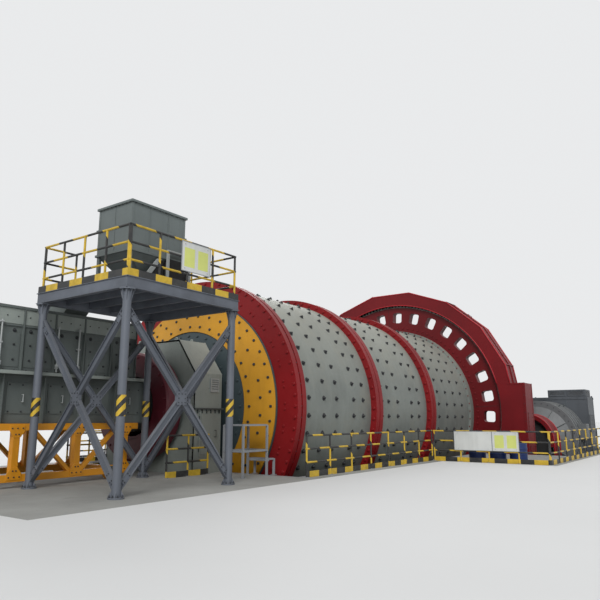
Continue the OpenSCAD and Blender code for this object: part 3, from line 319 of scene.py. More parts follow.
def hazard_wrap():
    """Slanting yellow and black tape, scuffed."""
    tree = Tree("hazard_wrap", RAIL_YELLOW, 0.40)
    around = tree.math("ADD", tree.axis("X"), tree.axis("Y"))
    slant = tree.math("SUBTRACT", tree.axis("Z"), tree.math("MULTIPLY", around, 0.8))
    stripes = tree.stripes(slant, TAPE_PITCH)
    worn = tree.noise(14.0, 6.0, 0.7)
    yellow = tree.mix(tree.ramp(worn, 0.35, 0.75), RAIL_YELLOW, shade(RAIL_YELLOW, 0.70))
    dark = tree.mix(tree.ramp(worn, 0.50, 0.80), TAPE_BLACK, TAPE_WORN)
    tree.color(tree.mix(stripes, yellow, dark))
    tree.rough(worn, 0.30, 0.55)
    tree.bump(worn, 0.06, 0.001)
    return tree.material


def chequer_plate(name, color):
    """Tread plate with raised pale studs on top and cloudy dust."""
    tree = Tree(name, color, 0.55)
    turned = tree.node("ShaderNodeMapping", None, Vector=tree.coords)
    turned.inputs["Rotation"].default_value = (0.0, 0.0, math.radians(45))
    turned.inputs["Scale"].default_value = (16.0, 16.0, 16.0)
    cells = tree.node("ShaderNodeTexVoronoi", None, Vector=turned.outputs["Vector"], Scale=1.0,
                      Randomness=0.0)
    on_top = tree.math("GREATER_THAN", tree.upward(), 0.7)
    studs = tree.math("MULTIPLY", on_top, tree.ramp(cells.outputs["Distance"], 0.42, 0.18))
    patches = tree.noise(1.4, 6.0, 0.65)
    base = tree.tones(patches, 0.30, 0.72, color, 0.70, 1.25)
    tree.color(tree.mix(tree.math("MULTIPLY", studs, 0.4), base, shade(color, 1.7)))
    tree.rough(patches, 0.45, 0.75)
    tree.bump(studs, 0.5, 0.004)
    return tree.material


# A paint's numbers are its roughness, dust, streaks, grime and the bevel's radius
MATERIALS = {
    "shell": shell_paint(),
    "concrete": concrete(),
    "flange": paint("flange_red", FLANGE_RED, 0.42, 0.14, 0.30, specular=RED_SPECULAR),
    "guard": paint("guard_red", GUARD_RED, 0.40, 0.16, 0.30, specular=RED_SPECULAR),
    "ring": paint("ring_yellow", RING_YELLOW, 0.45, 0.10, 0.30),
    "slate": paint("head_slate", HEAD_SLATE, 0.45, 0.20, 0.30),
    "casing": paint("casing_green", CASING_GREEN, 0.48, 0.30, 0.35),
    "steel": paint("platform_grey", STEEL_GREY, 0.46, 0.30, 0.30),
    "chute": paint("chute_grey", CHUTE_GREY, 0.58, 0.75, 0.40),
    "hopper": paint("hopper_grey", HOPPER_GREY, 0.50, 0.40, 0.40),
    "trolley": paint("trolley_orange", TROLLEY_ORANGE, 0.45, 0.20, 0.35),
    "motor": paint("motor_grey", MOTOR_GREY, 0.45, 0.40, 0.30),
    "cooler": paint("cooler_grey", COOLER_GREY, 0.50, 0.35, 0.30),
    "maroon": paint("maroon", MAROON, 0.42, 0.20, 0.30),
    "bearing": paint("bearing_grey", BEARING_GREY, 0.45, 0.30, 0.30),
    "blue": paint("lube_blue", LUBE_BLUE, 0.35, 0.25, 0.30),
    "bolt": paint("bolt_dark", BOLT_DARK, 0.50, 0.20, 0.0, 0.3, 0.0),
    "soot": paint("soot", SOOT, 0.75, 0.10, 0.0, 0.2, 0.0),
    "white": paint("plate_white", PLATE_WHITE, 0.40, 0.10, 0.30, 0.3, 0.0),
    "galvanized": paint("galvanized", GALVANIZED, 0.42, 0.20, 0.25, 0.4, 0.006),
    "pinion": machined("pinion_steel", TURNED_STEEL),
    "gear": gear_paint_with_painted_shade(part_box("girth_gear")[1][0] - 0.15),
    "deck": chequer_plate("deck_plate", STEEL_GREY),
    "pale": paint("pale_grey", PALE_GREY, 0.48, 0.20, 0.30, 0.5, 0.004),
    # Painted highlight: the rolled beads of the guards are painted brighter than the guard's red
    "painted_highlight_red": paint("guard_bead_painted_highlight", BEAD_HIGHLIGHT_RED, 0.36, 0.12, 0.15, 0.3, 0.0, RED_SPECULAR),
    "hazard": hazard_wrap(),
    "sign_tint": paint("sign_tint", NOTICE_YELLOW, 0.45, 0.10, 0.10, 0.2, 0.0),
    "floor_rail": banded("floor_rail", 0.47, 0.43, FLOOR_Z + 0.16),
    "deck_rail": banded("deck_rail", 0.52, 0.44, DECK_Z + 0.16),
}

NODE_FINISH = {
    "concrete": ["base_slab", "feed_block", "pit_walls", "drive_aprons", "bay_walls", "discharge_pier",
                 "drive_plinths"],
    "shell": ["can_1", "can_2", "can_3"],
    "flange": ["feed_flange", "can_flanges"],
    "guard": ["gear_guard_hood", "gear_guard_boxes", "gear_guard_sump", "pinion_bearings", "clutch_guards"],
    "ring": ["head_ring"],
    "slate": ["feed_head", "discharge_head"],
    "casing": ["bearing_casings"],
    "bearing": ["trunnion_bearings"],
    "steel": ["platform_legs", "platform_bracing"],
    "deck": ["platform_deck"],
    "deck_rail": ["platform_railing", "platform_toe_boards"],
    "floor_rail": ["drum_fences", "drive_fences", "feed_fences"],
    "chute": ["chute_box", "feed_spout", "hopper_duct"],
    "hopper": ["hopper"],
    "trolley": ["chute_trolley"],
    "motor": ["motors"],
    "cooler": ["motor_coolers"],
    "maroon": ["feed_trunnion", "discharge_trunnion"],
    "gear": ["girth_gear"],
    "pinion": ["pinion_aisle", "pinion_far"],
    "soot": ["clutch_aisle", "clutch_far"],
    "blue": ["lube_drums"],
    "galvanized": ["access_stand"],
}


def finish_nodes():
    for finish, names in NODE_FINISH.items():
        for name in names:
            node = frame["nodes"][name]
            node.data.materials.clear()
            node.data.materials.append(MATERIALS[finish])


class Builder:
    """Collects simple closed forms into one mesh."""

    def __init__(self):
        self.points = []
        self.faces = []

    def add(self, points, faces, place=None):
        start = len(self.points)
        flipped = place is not None and place.to_3x3().determinant() < 0
        for point in points:
            self.points.append(place @ Vector(point) if place else Vector(point))
        for face in faces:
            order = reversed(face) if flipped else face
            self.faces.append(tuple(start + index for index in order))

    def box(self, corner, opposite, place=None):
        """A box between two opposite corners, given in any order."""
        xs, ys, zs = (sorted(pair) for pair in zip(corner, opposite))
        points = [(x, y, z) for x in xs for y in ys for z in zs]
        faces = [(0, 1, 3, 2), (4, 6, 7, 5), (0, 4, 5, 1), (2, 3, 7, 6), (0, 2, 6, 4), (1, 5, 7, 3)]
        self.add(points, faces, place)

    def bars(self, low, high, inner, outer, base, top, place=None):
        """Four bars round a rectangle, from inner inside its edge to outer outside it."""
        (x0, y0), (x1, y1) = low, high
        self.box((x0 - outer, y0 - outer, base), (x1 + outer, y0 + inner, top), place)
        self.box((x0 - outer, y1 - inner, base), (x1 + outer, y1 + outer, top), place)
        self.box((x0 - outer, y0 + inner, base), (x0 + inner, y1 - inner, top), place)
        self.box((x1 - inner, y0 + inner, base), (x1 + outer, y1 - inner, top), place)

    def turned(self, profile, sides, place=None):
        """Turns a closed-off (radius, height) profile about +Z; it starts and ends on the axis."""
        points = []
        faces = []
        rings = []
        for radius, height in profile:
            if radius <= 1e-6:
                rings.append([len(points)])
                points.append((0.0, 0.0, height))
            else:
                rings.append([len(points) + k for k in range(sides)])
                for k in range(sides):
                    angle = 2 * math.pi * k / sides
                    points.append((radius * math.cos(angle), radius * math.sin(angle), height))
        for lower, upper in zip(rings, rings[1:]):
            for k in range(sides):
                following = (k + 1) % sides
                if len(lower) == 1:
                    faces.append((lower[0], upper[following], upper[k]))
                elif len(upper) == 1:
                    faces.append((lower[k], lower[following], upper[0]))
                else:
                    faces.append((lower[k], lower[following], upper[following], upper[k]))
        self.add(points, faces, place)

    def ring(self, outline, sides, place=None):
        """Turns a closed (radius, height) outline about +Z into a ring."""
        points = []
        count = len(outline)
        for k in range(sides):
            angle = 2 * math.pi * k / sides
            for radius, height in outline:
                points.append((radius * math.cos(angle), radius * math.sin(angle), height))
        faces = []
        for k in range(sides):
            here = k * count
            there = ((k + 1) % sides) * count
            for i in range(count):
                j = (i + 1) % count
                faces.append((here + i, there + i, there + j, here + j))
        self.add(points, faces, place)

    def extruded(self, outline, depth, place=None):
        """Extrudes a counter-clockwise (x, y) outline along +Z."""
        count = len(outline)
        points = [(x, y, 0.0) for x, y in outline] + [(x, y, depth) for x, y in outline]
        faces = [tuple(reversed(range(count))), tuple(range(count, 2 * count))]
        for i in range(count):
            j = (i + 1) % count
            faces.append((i, j, count + j, count + i))
        self.add(points, faces, place)

    def tube(self, start, end, radius, sides=8):
        start, end = Vector(start), Vector(end)
        way = end - start
        place = Matrix.Translation(start) @ way.to_track_quat("Z", "Y").to_matrix().to_4x4()
        self.turned([(0.0, 0.0), (radius, 0.0), (radius, way.length), (0.0, way.length)], sides, place)

    def sweep(self, points, radius, sides=8):
        """A round bar along a bent line, mitred where it turns."""
        path = [Vector(point) for point in points]
        ways = [(second - first).normalized() for first, second in zip(path, path[1:])]
        side = ways[0].orthogonal().normalized()
        rings = []
        for index, point in enumerate(path):
            before = ways[max(0, index - 1)]
            after = ways[min(index, len(ways) - 1)]
            way = (before + after).normalized()
            stretch = 1.0 / max(0.5, way.dot(after))
            side = (side - way * side.dot(way)).normalized()
            up = way.cross(side)
            bend = (after - before)
            bend = bend.normalized() if bend.length > 1e-6 else None
            ring = []
            for k in range(sides):
                angle = 2 * math.pi * k / sides
                out = (side * math.cos(angle) + up * math.sin(angle)) * radius
                if bend:
                    out += bend * out.dot(bend) * (stretch - 1.0)
                ring.append(point + out)
            rings.append(ring)
        points = [point for ring in rings for point in ring]
        faces = [tuple(reversed(range(sides))), tuple(range(len(points) - sides, len(points)))]
        for row in range(len(rings) - 1):
            for k in range(sides):
                following = (k + 1) % sides
                faces.append((row * sides + k, row * sides + following,
                              (row + 1) * sides + following, (row + 1) * sides + k))
        self.add(points, faces)

    def nut(self, point, direction, size):
        """A chamfered hex head."""
        top = size * 0.85
        self.turned([(0.0, 0.0), (size, 0.0), (size, size * 0.7), (size * 0.84, top), (0.0, top)],
                    6, facing(point, direction))

    def nuts(self, place, xs, ys, z, size, out=None):
        """Nuts at each x and y of a placement, looking along its Z unless another way is given."""
        way = out or place.to_3x3() @ Vector(UP)
        for x in xs:
            for y in ys:
                self.nut(place @ Vector((x, y, z)), way, size)

    def nut_circle(self, place, radius, count, z, way, size, phase=0.0):
        """Nuts in a circle about a placement's Z."""
        for i in range(count):
            turn = math.radians(phase + i * 360.0 / count)
            self.nut(place @ Vector((radius * math.cos(turn), radius * math.sin(turn), z)), way, size)

    def louvres(self, place, width, height, slats, depth=0.03):
        """A framed panel of slanting slats; the placement's X runs across, Y up and Z outwards."""
        rim = 0.035
        self.bars((-width / 2, -height / 2), (width / 2, height / 2), rim, 0.0, 0.0, depth, place)
        pitch = (height - 2 * rim) / slats
        for i in range(slats):
            low = -height / 2 + rim + i * pitch
            outline = [(0.0, low + pitch * 0.55), (0.004, low + pitch * 0.75),
                       (depth * 0.9, low + pitch * 0.20), (depth * 0.9, low)]
            half = width / 2 - rim
            points = [(x, y, z) for x in (-half, half) for z, y in outline]
            faces = [(3, 2, 1, 0), (4, 5, 6, 7)]
            faces += [(j, (j + 1) % 4, 4 + (j + 1) % 4, 4 + j) for j in range(4)]
            self.add(points, faces, place)

    def bolt(self, point, direction, size):
        """A washer, a hex nut and a stud end that stands out of it."""
        place = facing(point, direction)
        self.turned([(0.0, 0.0), (size * 1.75, 0.0), (size * 1.55, size * 0.35), (0.0, size * 0.35)],
                    12, place)
        self.turned([(0.0, size * 0.3), (size, size * 0.3), (size, size * 1.05), (size * 0.86, size * 1.2),
                     (0.0, size * 1.2)], 6, place)
        self.turned([(0.0, size), (size * 0.5, size), (size * 0.5, size * 1.65), (0.0, size * 1.72)],
                    8, place)

    def make(self, name, body, finish, slot, bevel=0.0, smooth=False):
        mesh = bpy.data.meshes.new(name)
        mesh.from_pydata(self.points, [], self.faces)
        mesh.validate()
        mesh.update()
        mesh.materials.append(MATERIALS[finish])
        piece = bpy.data.objects.new(name, mesh)
        bpy.context.scene.collection.objects.link(piece)
        if smooth:
            mesh.shade_smooth()
        if bevel:
            edge = piece.modifiers.new("edge", "BEVEL")
            edge.width = bevel
            edge.segments = 2
            edge.limit_method = "ANGLE"
            edge.angle_limit = math.radians(40)
            edge.harden_normals = False
        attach(piece, body)
        return piece


def facing(point, direction):
    """The placement whose +Z looks along a direction."""
    return Matrix.Translation(Vector(point)) @ Vector(direction).to_track_quat("Z", "Y").to_matrix().to_4x4()


def on_drum(radius, angle, y):
    """A point at a radius and an angle in degrees about the mill axis, and the direction outwards."""
    turn = math.radians(angle)
    out = Vector((math.cos(turn), 0.0, math.sin(turn)))
    return Vector((0.0, y, AXIS_Z)) + out * radius, out


def spot(x, y, z):
    """A point from the mill axis, the feed flange's face and the operating floor."""
    return Vector((x, MILL_Y + y, FLOOR_Z + z))


def placed(point, along, up, out):
    """The placement at a point whose X, Y and Z look along three directions."""
    return Matrix.Translation(Vector(point)) @ Matrix((along, up, out)).transposed().to_4x4()


# A quarter turn about X stands a flat outline upright
STAND = Matrix.Rotation(math.radians(90), 4, "X")


def upright(point, out):
    """A placement whose Z looks along out, level, and whose Y points up."""
    out = Vector(out).normalized()
    up = Vector(UP)
    return placed(point, up.cross(out), up, out)


# Liner bolts: each can has columns of bolts at these distances from the feed flange's face
BOLT_ROWS = 48
LINER_BOLT = 0.046
BOLT_COLUMNS = {
    "can_1": (0.72, 1.50, 2.20, 3.22, 3.82),
    "can_2": (5.12, 5.62, 6.32, 7.46, 8.10),
    "can_3": (9.62, 10.05, 10.90, 11.75, 12.60),
}


def liner_bolts():
    for can, columns in BOLT_COLUMNS.items():
        studs = Builder()
        for distance in columns:
            for row in range(BOLT_ROWS):
                angle = (row + 0.5) * 360.0 / BOLT_ROWS
                point, out = on_drum(SHELL_R - 0.004, angle, MILL_Y + distance)
                studs.bolt(point, out, LINER_BOLT)
        studs.make(can + "_liner_bolts", "drum", "bolt", "clutch_dark")


def bolt_circle(builder, radius, distance, count, size, direction, phase=0.0):
    for i in range(count):
        point = on_drum(radius, phase + i * 360.0 / count, MILL_Y + distance)[0]
        builder.nut(point, direction, size)


# The head's cone, from its inner to its outer radius
HEAD_IN_R, HEAD_OUT_R = 1.25, 3.30
HEAD_IN_Y, HEAD_OUT_Y = -0.60, -0.04
BAND_R = 2.34
HEAD_RING_T = 0.030
DISCHARGE_HEAD_Y = 14.15
DISCHARGE_BACK_Y = 14.90
DISCHARGE_OUT_R = 3.57


def head_point(radius, angle):
    """A point on the head's front and the direction out of it."""
    slope = (HEAD_OUT_Y - HEAD_IN_Y) / (HEAD_OUT_R - HEAD_IN_R)
    distance = HEAD_OUT_Y - (HEAD_OUT_R - radius) * slope
    if radius > BAND_R:
        distance -= HEAD_RING_T
    point, out = on_drum(radius, angle, MILL_Y + distance)
    return point, (out * slope + Vector(AXIAL_FRONT)).normalized()


def head_bolts():
    yellow = Builder()
    for radius, count, phase in ((2.50, 36, 0.0), (2.84, 36, 5.0), (3.14, 48, 0.0)):
        for i in range(count):
            yellow.nut(*head_point(radius, phase + i * 360.0 / count), 0.042)
    yellow.make("head_ring_bolts", "drum", "bolt", "clutch_dark")
    slate = Builder()
    for radius, count, phase in ((1.52, 24, 0.0), (1.86, 24, 7.5), (2.20, 36, 0.0)):
        for i in range(count):
            slate.nut(*head_point(radius, phase + i * 360.0 / count), 0.040)
    slope = (DISCHARGE_OUT_R - HEAD_IN_R) / (DISCHARGE_BACK_Y - DISCHARGE_HEAD_Y)
    for radius, count in ((1.60, 24), (2.20, 36), (2.80, 36), (3.35, 48)):
        distance = DISCHARGE_HEAD_Y + (DISCHARGE_OUT_R - radius) / slope
        for i in range(count):
            point, out = on_drum(radius, i * 360.0 / count, MILL_Y + distance)
            slate.nut(point, (out / slope + Vector(AXIAL_BACK)).normalized(), 0.042)
    slate.make("head_bolts", "drum", "slate", "head_slate")
    ribs = Builder()
    for i in range(12):
        middle, out = on_drum(0.0, i * 30.0 + 15.0, MILL_Y)
        back = Vector(AXIAL_BACK)
        place = placed(middle, out, back, out.cross(back)) @ Matrix.Translation((0.0, 0.0, -0.03))
        ribs.extruded([(1.24, DISCHARGE_BACK_Y - 0.01), (3.55, DISCHARGE_HEAD_Y - 0.01),
                       (3.55, DISCHARGE_HEAD_Y + 0.10), (1.60, DISCHARGE_BACK_Y + 0.02),
                       (1.24, DISCHARGE_BACK_Y + 0.06)], 0.06, place)
    ribs.make("discharge_head_ribs", "drum", "slate", "head_slate", 0.006)


FLANGE_BOLT = 0.050
# Where each pair of can flanges begins and ends, from the feed flange's face
CAN_FLANGE_PAIRS = ((4.36, 4.83), (8.83, 9.30))


def flange_bolts():
    """Red painted heads on the faces of the drum's flanges, and studs across the feed flange's groove."""
    red = Builder()
    for angle in range(36):
        for offset in (-1.3, 1.3):
            point = on_drum(3.56, angle * 10.0 + offset, MILL_Y)[0]
            red.nut(point, AXIAL_FRONT, 0.034)
    bolt_circle(red, FEED_R - 0.075, 0.0, 80, 0.044, AXIAL_FRONT)
    bolt_circle(red, SHELL_R + 0.066, 0.42, 80, 0.044, AXIAL_BACK)
    for start, end in CAN_FLANGE_PAIRS:
        bolt_circle(red, SHELL_R + 0.115, start, 72, FLANGE_BOLT, AXIAL_FRONT)
        bolt_circle(red, SHELL_R + 0.115, end, 72, FLANGE_BOLT, AXIAL_BACK)
    red.make("drum_flange_bolts", "drum", "flange", "flange_red")
    studs = Builder()
    for i in range(80):
        angle = i * 4.5
        start = on_drum(FEED_R - 0.035, angle, MILL_Y + 0.17)[0]
        end = on_drum(FEED_R - 0.035, angle, MILL_Y + 0.25)[0]
        studs.tube(start, end, 0.020, 6)
    studs.make("feed_flange_studs", "drum", "bolt", "clutch_dark")


GEAR_Y = 13.83
WEB_T = 0.19
SPLIT_ANGLES = tuple(-3.0 + 5.625 + 90.0 * i for i in range(4))


def gear_bolts():
    """The gear's hub bolts and the bolts of its split flanges, with a machined joint line on the web."""
    heads = Builder()
    bolt_circle(heads, 4.16, GEAR_Y, 96, 0.042, AXIAL_FRONT)
    bolt_circle(heads, 4.16, GEAR_Y + WEB_T, 96, 0.042, AXIAL_BACK)
    bolt_circle(heads, SHELL_R + 0.055, GEAR_Y - 0.35, 72, 0.030, AXIAL_FRONT)
    for angle in SPLIT_ANGLES:
        for radius in (4.25, 4.55, 4.85, 5.02):
            for side in SIDES:
                point, out = on_drum(radius, angle, MILL_Y + GEAR_Y + 0.29)
                across = out.cross(Vector(AXIAL_BACK)) * side
                heads.nut(point + across * 0.05, across, 0.045)
    heads.make("gear_bolts", "drum", "guard", "gear_steel")
    seams = Builder()
    for angle in SPLIT_ANGLES:
        place = Matrix.Translation(Vector((0.0, MILL_Y + GEAR_Y, AXIS_Z))) @ Matrix.Rotation(
            -math.radians(angle), 4, "Y")
        seams.box((4.02, -0.004, -0.006), (5.14, 0.002, 0.006), place)
    seams.make("gear_seams", "drum", "soot", "clutch_dark")


# The segmented guard: a polygon of flats round the mill axis
GUARD_R = 5.95
GUARD_SIDES = 18
GUARD_FRONT, GUARD_BACK = 13.62, 14.74
GUARD_MIDDLE = (GUARD_FRONT + GUARD_BACK) / 2
GUARD_LIP_R = 5.29
BOX_TOP = 1.20
FLAT_HALF = GUARD_R * math.sin(math.pi / GUARD_SIDES)
FLAT_R = GUARD_R * math.cos(math.pi / GUARD_SIDES)
HOOD_FLATS = (30, 50, 70, 90, 110, 130, 150)
FIRST_FLAT = math.radians(10)


def on_flat(angle):
    """The placement on one flat of the guard: X along the flat, Y towards the discharge, Z outwards."""
    point, out = on_drum(FLAT_R, angle, MILL_Y + GUARD_MIDDLE)
    along = Vector(AXIAL_BACK)
    return placed(point, along.cross(out), along, out)


def guard_corner(angle, radius, distance):
    return on_drum(radius, angle, MILL_Y + distance)[0]


def guard_details():
    """Beads along the hood's edges, seam bolts, and doors on its flats with handles on some."""
    beads = Builder()
    lip_start = math.degrees(math.asin(BOX_TOP / GUARD_LIP_R))
    flat_x = (FLAT_R - BOX_TOP * math.sin(FIRST_FLAT)) / math.cos(FIRST_FLAT)
    end_r = math.hypot(flat_x, BOX_TOP)
    end_angle = math.degrees(math.atan2(BOX_TOP, flat_x))
    steps = 48
    for distance in (GUARD_FRONT, GUARD_BACK):
        edge = [(end_angle, end_r)] + [(a, GUARD_R) for a in range(20, 161, 20)] + [(180 - end_angle, end_r)]
        beads.sweep([guard_corner(a, r + 0.004, distance) for a, r in edge], 0.030, 10)
        lip = [lip_start + (180 - 2 * lip_start) * i / steps for i in range(steps + 1)]
        beads.sweep([guard_corner(a, GUARD_LIP_R + 0.01, distance) for a in lip], 0.024, 8)
    # The beads take the brighter red, a painted highlight
    beads.make("guard_beads", "foundation", "painted_highlight_red", "guard_red", 0.0, True)
    bolts = Builder()
    panels = Builder()
    handles = Builder()
    for angle in HOOD_FLATS:
        place = on_flat(angle)
        out = place.to_3x3() @ Vector(UP)
        for i in range(6):
            x = (i - 2.5) * FLAT_HALF / 3.2
            for side in SIDES:
                bolts.nut(place @ Vector((x, side * 0.020, 0.028)), (0.0, side, 0.0), 0.022)
                bolts.nut(place @ Vector((x, side * 0.500, 0.0)), out, 0.020)
        for side in SIDES:
            middle = side * 0.270
            panels.box((-0.44, middle - 0.150, -0.002), (0.44, middle + 0.150, 0.014), place)
            bolts.nuts(place, (-0.38, 0.0, 0.38), (middle - 0.115, middle + 0.115), 0.014, 0.018, out)
            if angle in (50, 90, 130):
                handles.sweep([place @ Vector((x, middle, z)) for x, z in
                               ((-0.12, 0.01), (-0.12, 0.075), (0.12, 0.075), (0.12, 0.01))], 0.012, 6)
    bolts.make("guard_bolts", "foundation", "guard", "guard_red")
    panels.make("guard_panels", "foundation", "guard", "guard_red", 0.004)
    handles.make("guard_handles", "foundation", "bolt", "clutch_dark")


def guard_box_details():
    """Doors, edge angles and shaft seals on the two pinion boxes."""
    box_low, box_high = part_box("gear_guard_boxes")
    outer = box_high[0]
    top = box_high[2]
    low = box_low[2]
    front, back = box_low[1], box_high[1]
    angles = Builder()
    bolts = Builder()
    doors = Builder()
    for side in SIDES:
        mirror = mirrored(side)
        for y, reach in ((front, -0.012), (back, 0.012)):
            angles.box((outer - 0.09, y, low), (outer + 0.012, y + reach, top + 0.012), mirror)
            angles.box((GUARD_LIP_R + 0.35, y, top - 0.07), (outer - 0.09, y + reach, top + 0.012), mirror)
        angles.box((outer, front, low), (outer + 0.012, front + 0.09, top), mirror)
        angles.box((outer, back - 0.09, low), (outer + 0.012, back, top), mirror)
        for level in (0.30, 0.62):
            z = low + (top - low) * level
            doors.box((outer, front + 0.22, z - 0.42), (outer + 0.016, back - 0.22, z + 0.42), mirror)
            for k in range(5):
                for y in (front + 0.26, back - 0.26):
                    head = mirror @ Vector((outer + 0.016, y, z - 0.36 + k * 0.18))
                    bolts.nut(head, (side, 0.0, 0.0), 0.020)
        for z in [low + 0.15 + k * (top - low - 0.3) / 11 for k in range(12)]:
            for y, way in ((front - 0.012, AXIAL_FRONT), (back + 0.012, AXIAL_BACK)):
                bolts.nut(mirror @ Vector((outer - 0.045, y, z)), way, 0.018)
        for y, way in ((front, AXIAL_FRONT), (back, AXIAL_BACK)):
            seal = facing((side * PINION_X, y, PINION_Z), way)
            angles.ring([(0.232, 0.0), (0.380, 0.0), (0.380, 0.030), (0.232, 0.060)], 40, seal)
            bolts.nut_circle(seal, 0.335, 10, 0.034, way, 0.018)
    angles.make("guard_box_angles", "foundation", "guard", "guard_red", 0.003)
    doors.make("guard_box_doors", "foundation", "guard", "guard_red", 0.005)
    bolts.make("guard_box_bolts", "foundation", "bolt", "clutch_dark")


def mirrored(side):
    """Mirrors what is built on the aisle side to the far side."""
    return Matrix.Scale(side, 4, OUTWARD)


def hinge_pin(builder, place, x, y, z, half, radius):
    builder.tube(place @ Vector((x, y - half, z)), place @ Vector((x, y + half, z)), radius)


def handle(builder, place, half, reach=0.06, radius=0.011):
    """A bent bar handle along the placement's Y, standing out along its Z."""
    builder.sweep([place @ Vector((0.0, y, z)) for y, z in
                   ((-half, -0.002), (-half, reach), (half, reach), (half, -0.002))], radius, 6)


# The sheet casings round the two trunnion bearings
CASING_PLACES = ((-1.80, -0.76), (15.15, 16.19))
CASING_HALF, CASING_SHOULDER, CASING_ROOF_HALF, CASING_TOP = 1.85, 0.90, 1.15, 1.86
AXIS_H = AXIS_Z - FLOOR_Z


def casing_edges():
    """The casing's outline over the axis, from the aisle side's foot round to the far side's foot."""
    corners = [(CASING_HALF, -AXIS_H), (CASING_HALF, CASING_SHOULDER), (CASING_ROOF_HALF, CASING_TOP),
               (-CASING_ROOF_HALF, CASING_TOP), (-CASING_HALF, CASING_SHOULDER), (-CASING_HALF, -AXIS_H)]
    return list(zip(corners, corners[1:]))


def on_edge(start, end, distance):
    """A placement at the start of an outline's edge: X along it, Y towards the discharge, Z outwards."""
    way = Vector((end[0] - start[0], 0.0, end[1] - start[1]))
    length = way.length
    way.normalize()
    back = Vector(AXIAL_BACK)
    out = way.cross(back)
    return placed((start[0], MILL_Y + distance, AXIS_Z + start[1]), way, back, out), length


def casing_details():
    """Edge flanges, doors, lifting lugs, shaft seals and the dark rail of each bearing casing."""
    sheets, bolts, dark, pale = Builder(), Builder(), Builder(), Builder()
    for front, back in CASING_PLACES:
        for start, end in casing_edges():
            for y in (front, back - 0.022):
                place, length = on_edge(start, end, y)
                sheets.box((-0.02, 0.0, -0.004), (length + 0.02, 0.022, 0.050), place)
                count = max(2, int(length / 0.22))
                for i in range(count):
                    head = Vector(((i + 0.5) * length / count, 0.0, 0.026))
                    bolts.nut(place @ head, AXIAL_FRONT, 0.016)
                    bolts.nut(place @ (head + Vector((0.0, 0.022, 0.0))), AXIAL_BACK, 0.016)
            place, length = on_edge(start, end, (front + back) / 2)
            if length < 1.5:
                sheets.box((0.12, -0.36, -0.002), (length - 0.12, 0.36, 0.012), place)
                bolts.nuts(place, (0.18, length / 2, length - 0.18), (-0.31, 0.31), 0.012, 0.018)
        middle = (front + back) / 2
        for side in SIDES:
            mirror = mirrored(side)
            face = upright(spot(CASING_HALF, middle, 1.05), OUTWARD)
            door = mirror @ face
            sheets.box((-0.34, -0.62, -0.002), (0.34, 0.62, 0.018), door)
            sheets.box((-0.27, -0.55, 0.018), (0.27, 0.55, 0.026), door)
            for y in (-0.42, 0.42):
                hinge_pin(dark, door, -0.345, y, 0.022, 0.06, 0.014)
            handle(dark, door @ Matrix.Translation((0.25, 0.0, 0.026)), 0.09)
            dark.box((CASING_HALF - 0.002, MILL_Y + front - 0.06, FLOOR_Z + 1.70),
                     (CASING_HALF + 0.085, MILL_Y + back + 0.02, FLOOR_Z + 1.745), mirror)
            for i in range(6):
                y = front + 0.08 + i * 0.17
                dark.box((CASING_HALF - 0.002, MILL_Y + y, FLOOR_Z + 1.60),
                         (CASING_HALF + 0.050, MILL_Y + y + 0.02, FLOOR_Z + 1.70), mirror)
            vent = mirror @ upright(spot(CASING_HALF, back - 0.30, 2.38), OUTWARD)
            pale.louvres(vent, 0.34, 0.38, 5)
            for y in (front + 0.22, back - 0.22):
                lug = mirror @ Matrix.Translation(spot(0.80, y, AXIS_H + CASING_TOP))
                sheets.extruded([(-0.07, -0.004), (0.07, -0.004), (0.07, 0.05), (0.035, 0.12), (-0.035, 0.12),
                                 (-0.07, 0.05)], 0.02, lug @ STAND)
        dark.box((-0.35, MILL_Y + middle - 0.22, AXIS_Z + CASING_TOP + 0.012),
                 (0.35, MILL_Y + middle + 0.22, AXIS_Z + CASING_TOP + 0.035))
    for y, way, shaft in ((-1.80, AXIAL_FRONT, 1.05), (-0.76, AXIAL_BACK, 1.25), (15.15, AXIAL_FRONT, 1.25),
                          (16.19, AXIAL_BACK, 1.25)):
        seal = facing((0.0, MILL_Y + y, AXIS_Z), way)
        dark.ring([(shaft + 0.012, 0.0), (shaft + 0.26, 0.0), (shaft + 0.26, 0.022), (shaft + 0.10, 0.045),
                   (shaft + 0.012, 0.045)], 96, seal)
        bolts.nut_circle(seal, shaft + 0.21, 24, 0.028, way, 0.022)
    sheets.make("casing_sheets", "foundation", "casing", "casing_paint", 0.003)
    bolts.make("casing_bolts", "foundation", "bolt", "clutch_dark")
    dark.make("casing_rails_and_seals", "foundation", "bearing", "bearing_paint", 0.003)
    pale.make("casing_vents", "foundation", "pale", "casing_paint")


# The feed platform's legs stand at these places, and its braces run between these heights
LEG_X = (1.40, 4.30)
LEG_Y = (-6.15, -3.10)
LEG_R = 0.085
FOOT_R = LEG_R + 0.07
BRACE_LOW, BRACE_HIGH = 0.15, 3.60
BRACE_FACE = 0.032
DECK_H = DECK_Z - FLOOR_Z
BEAM_H = 0.24


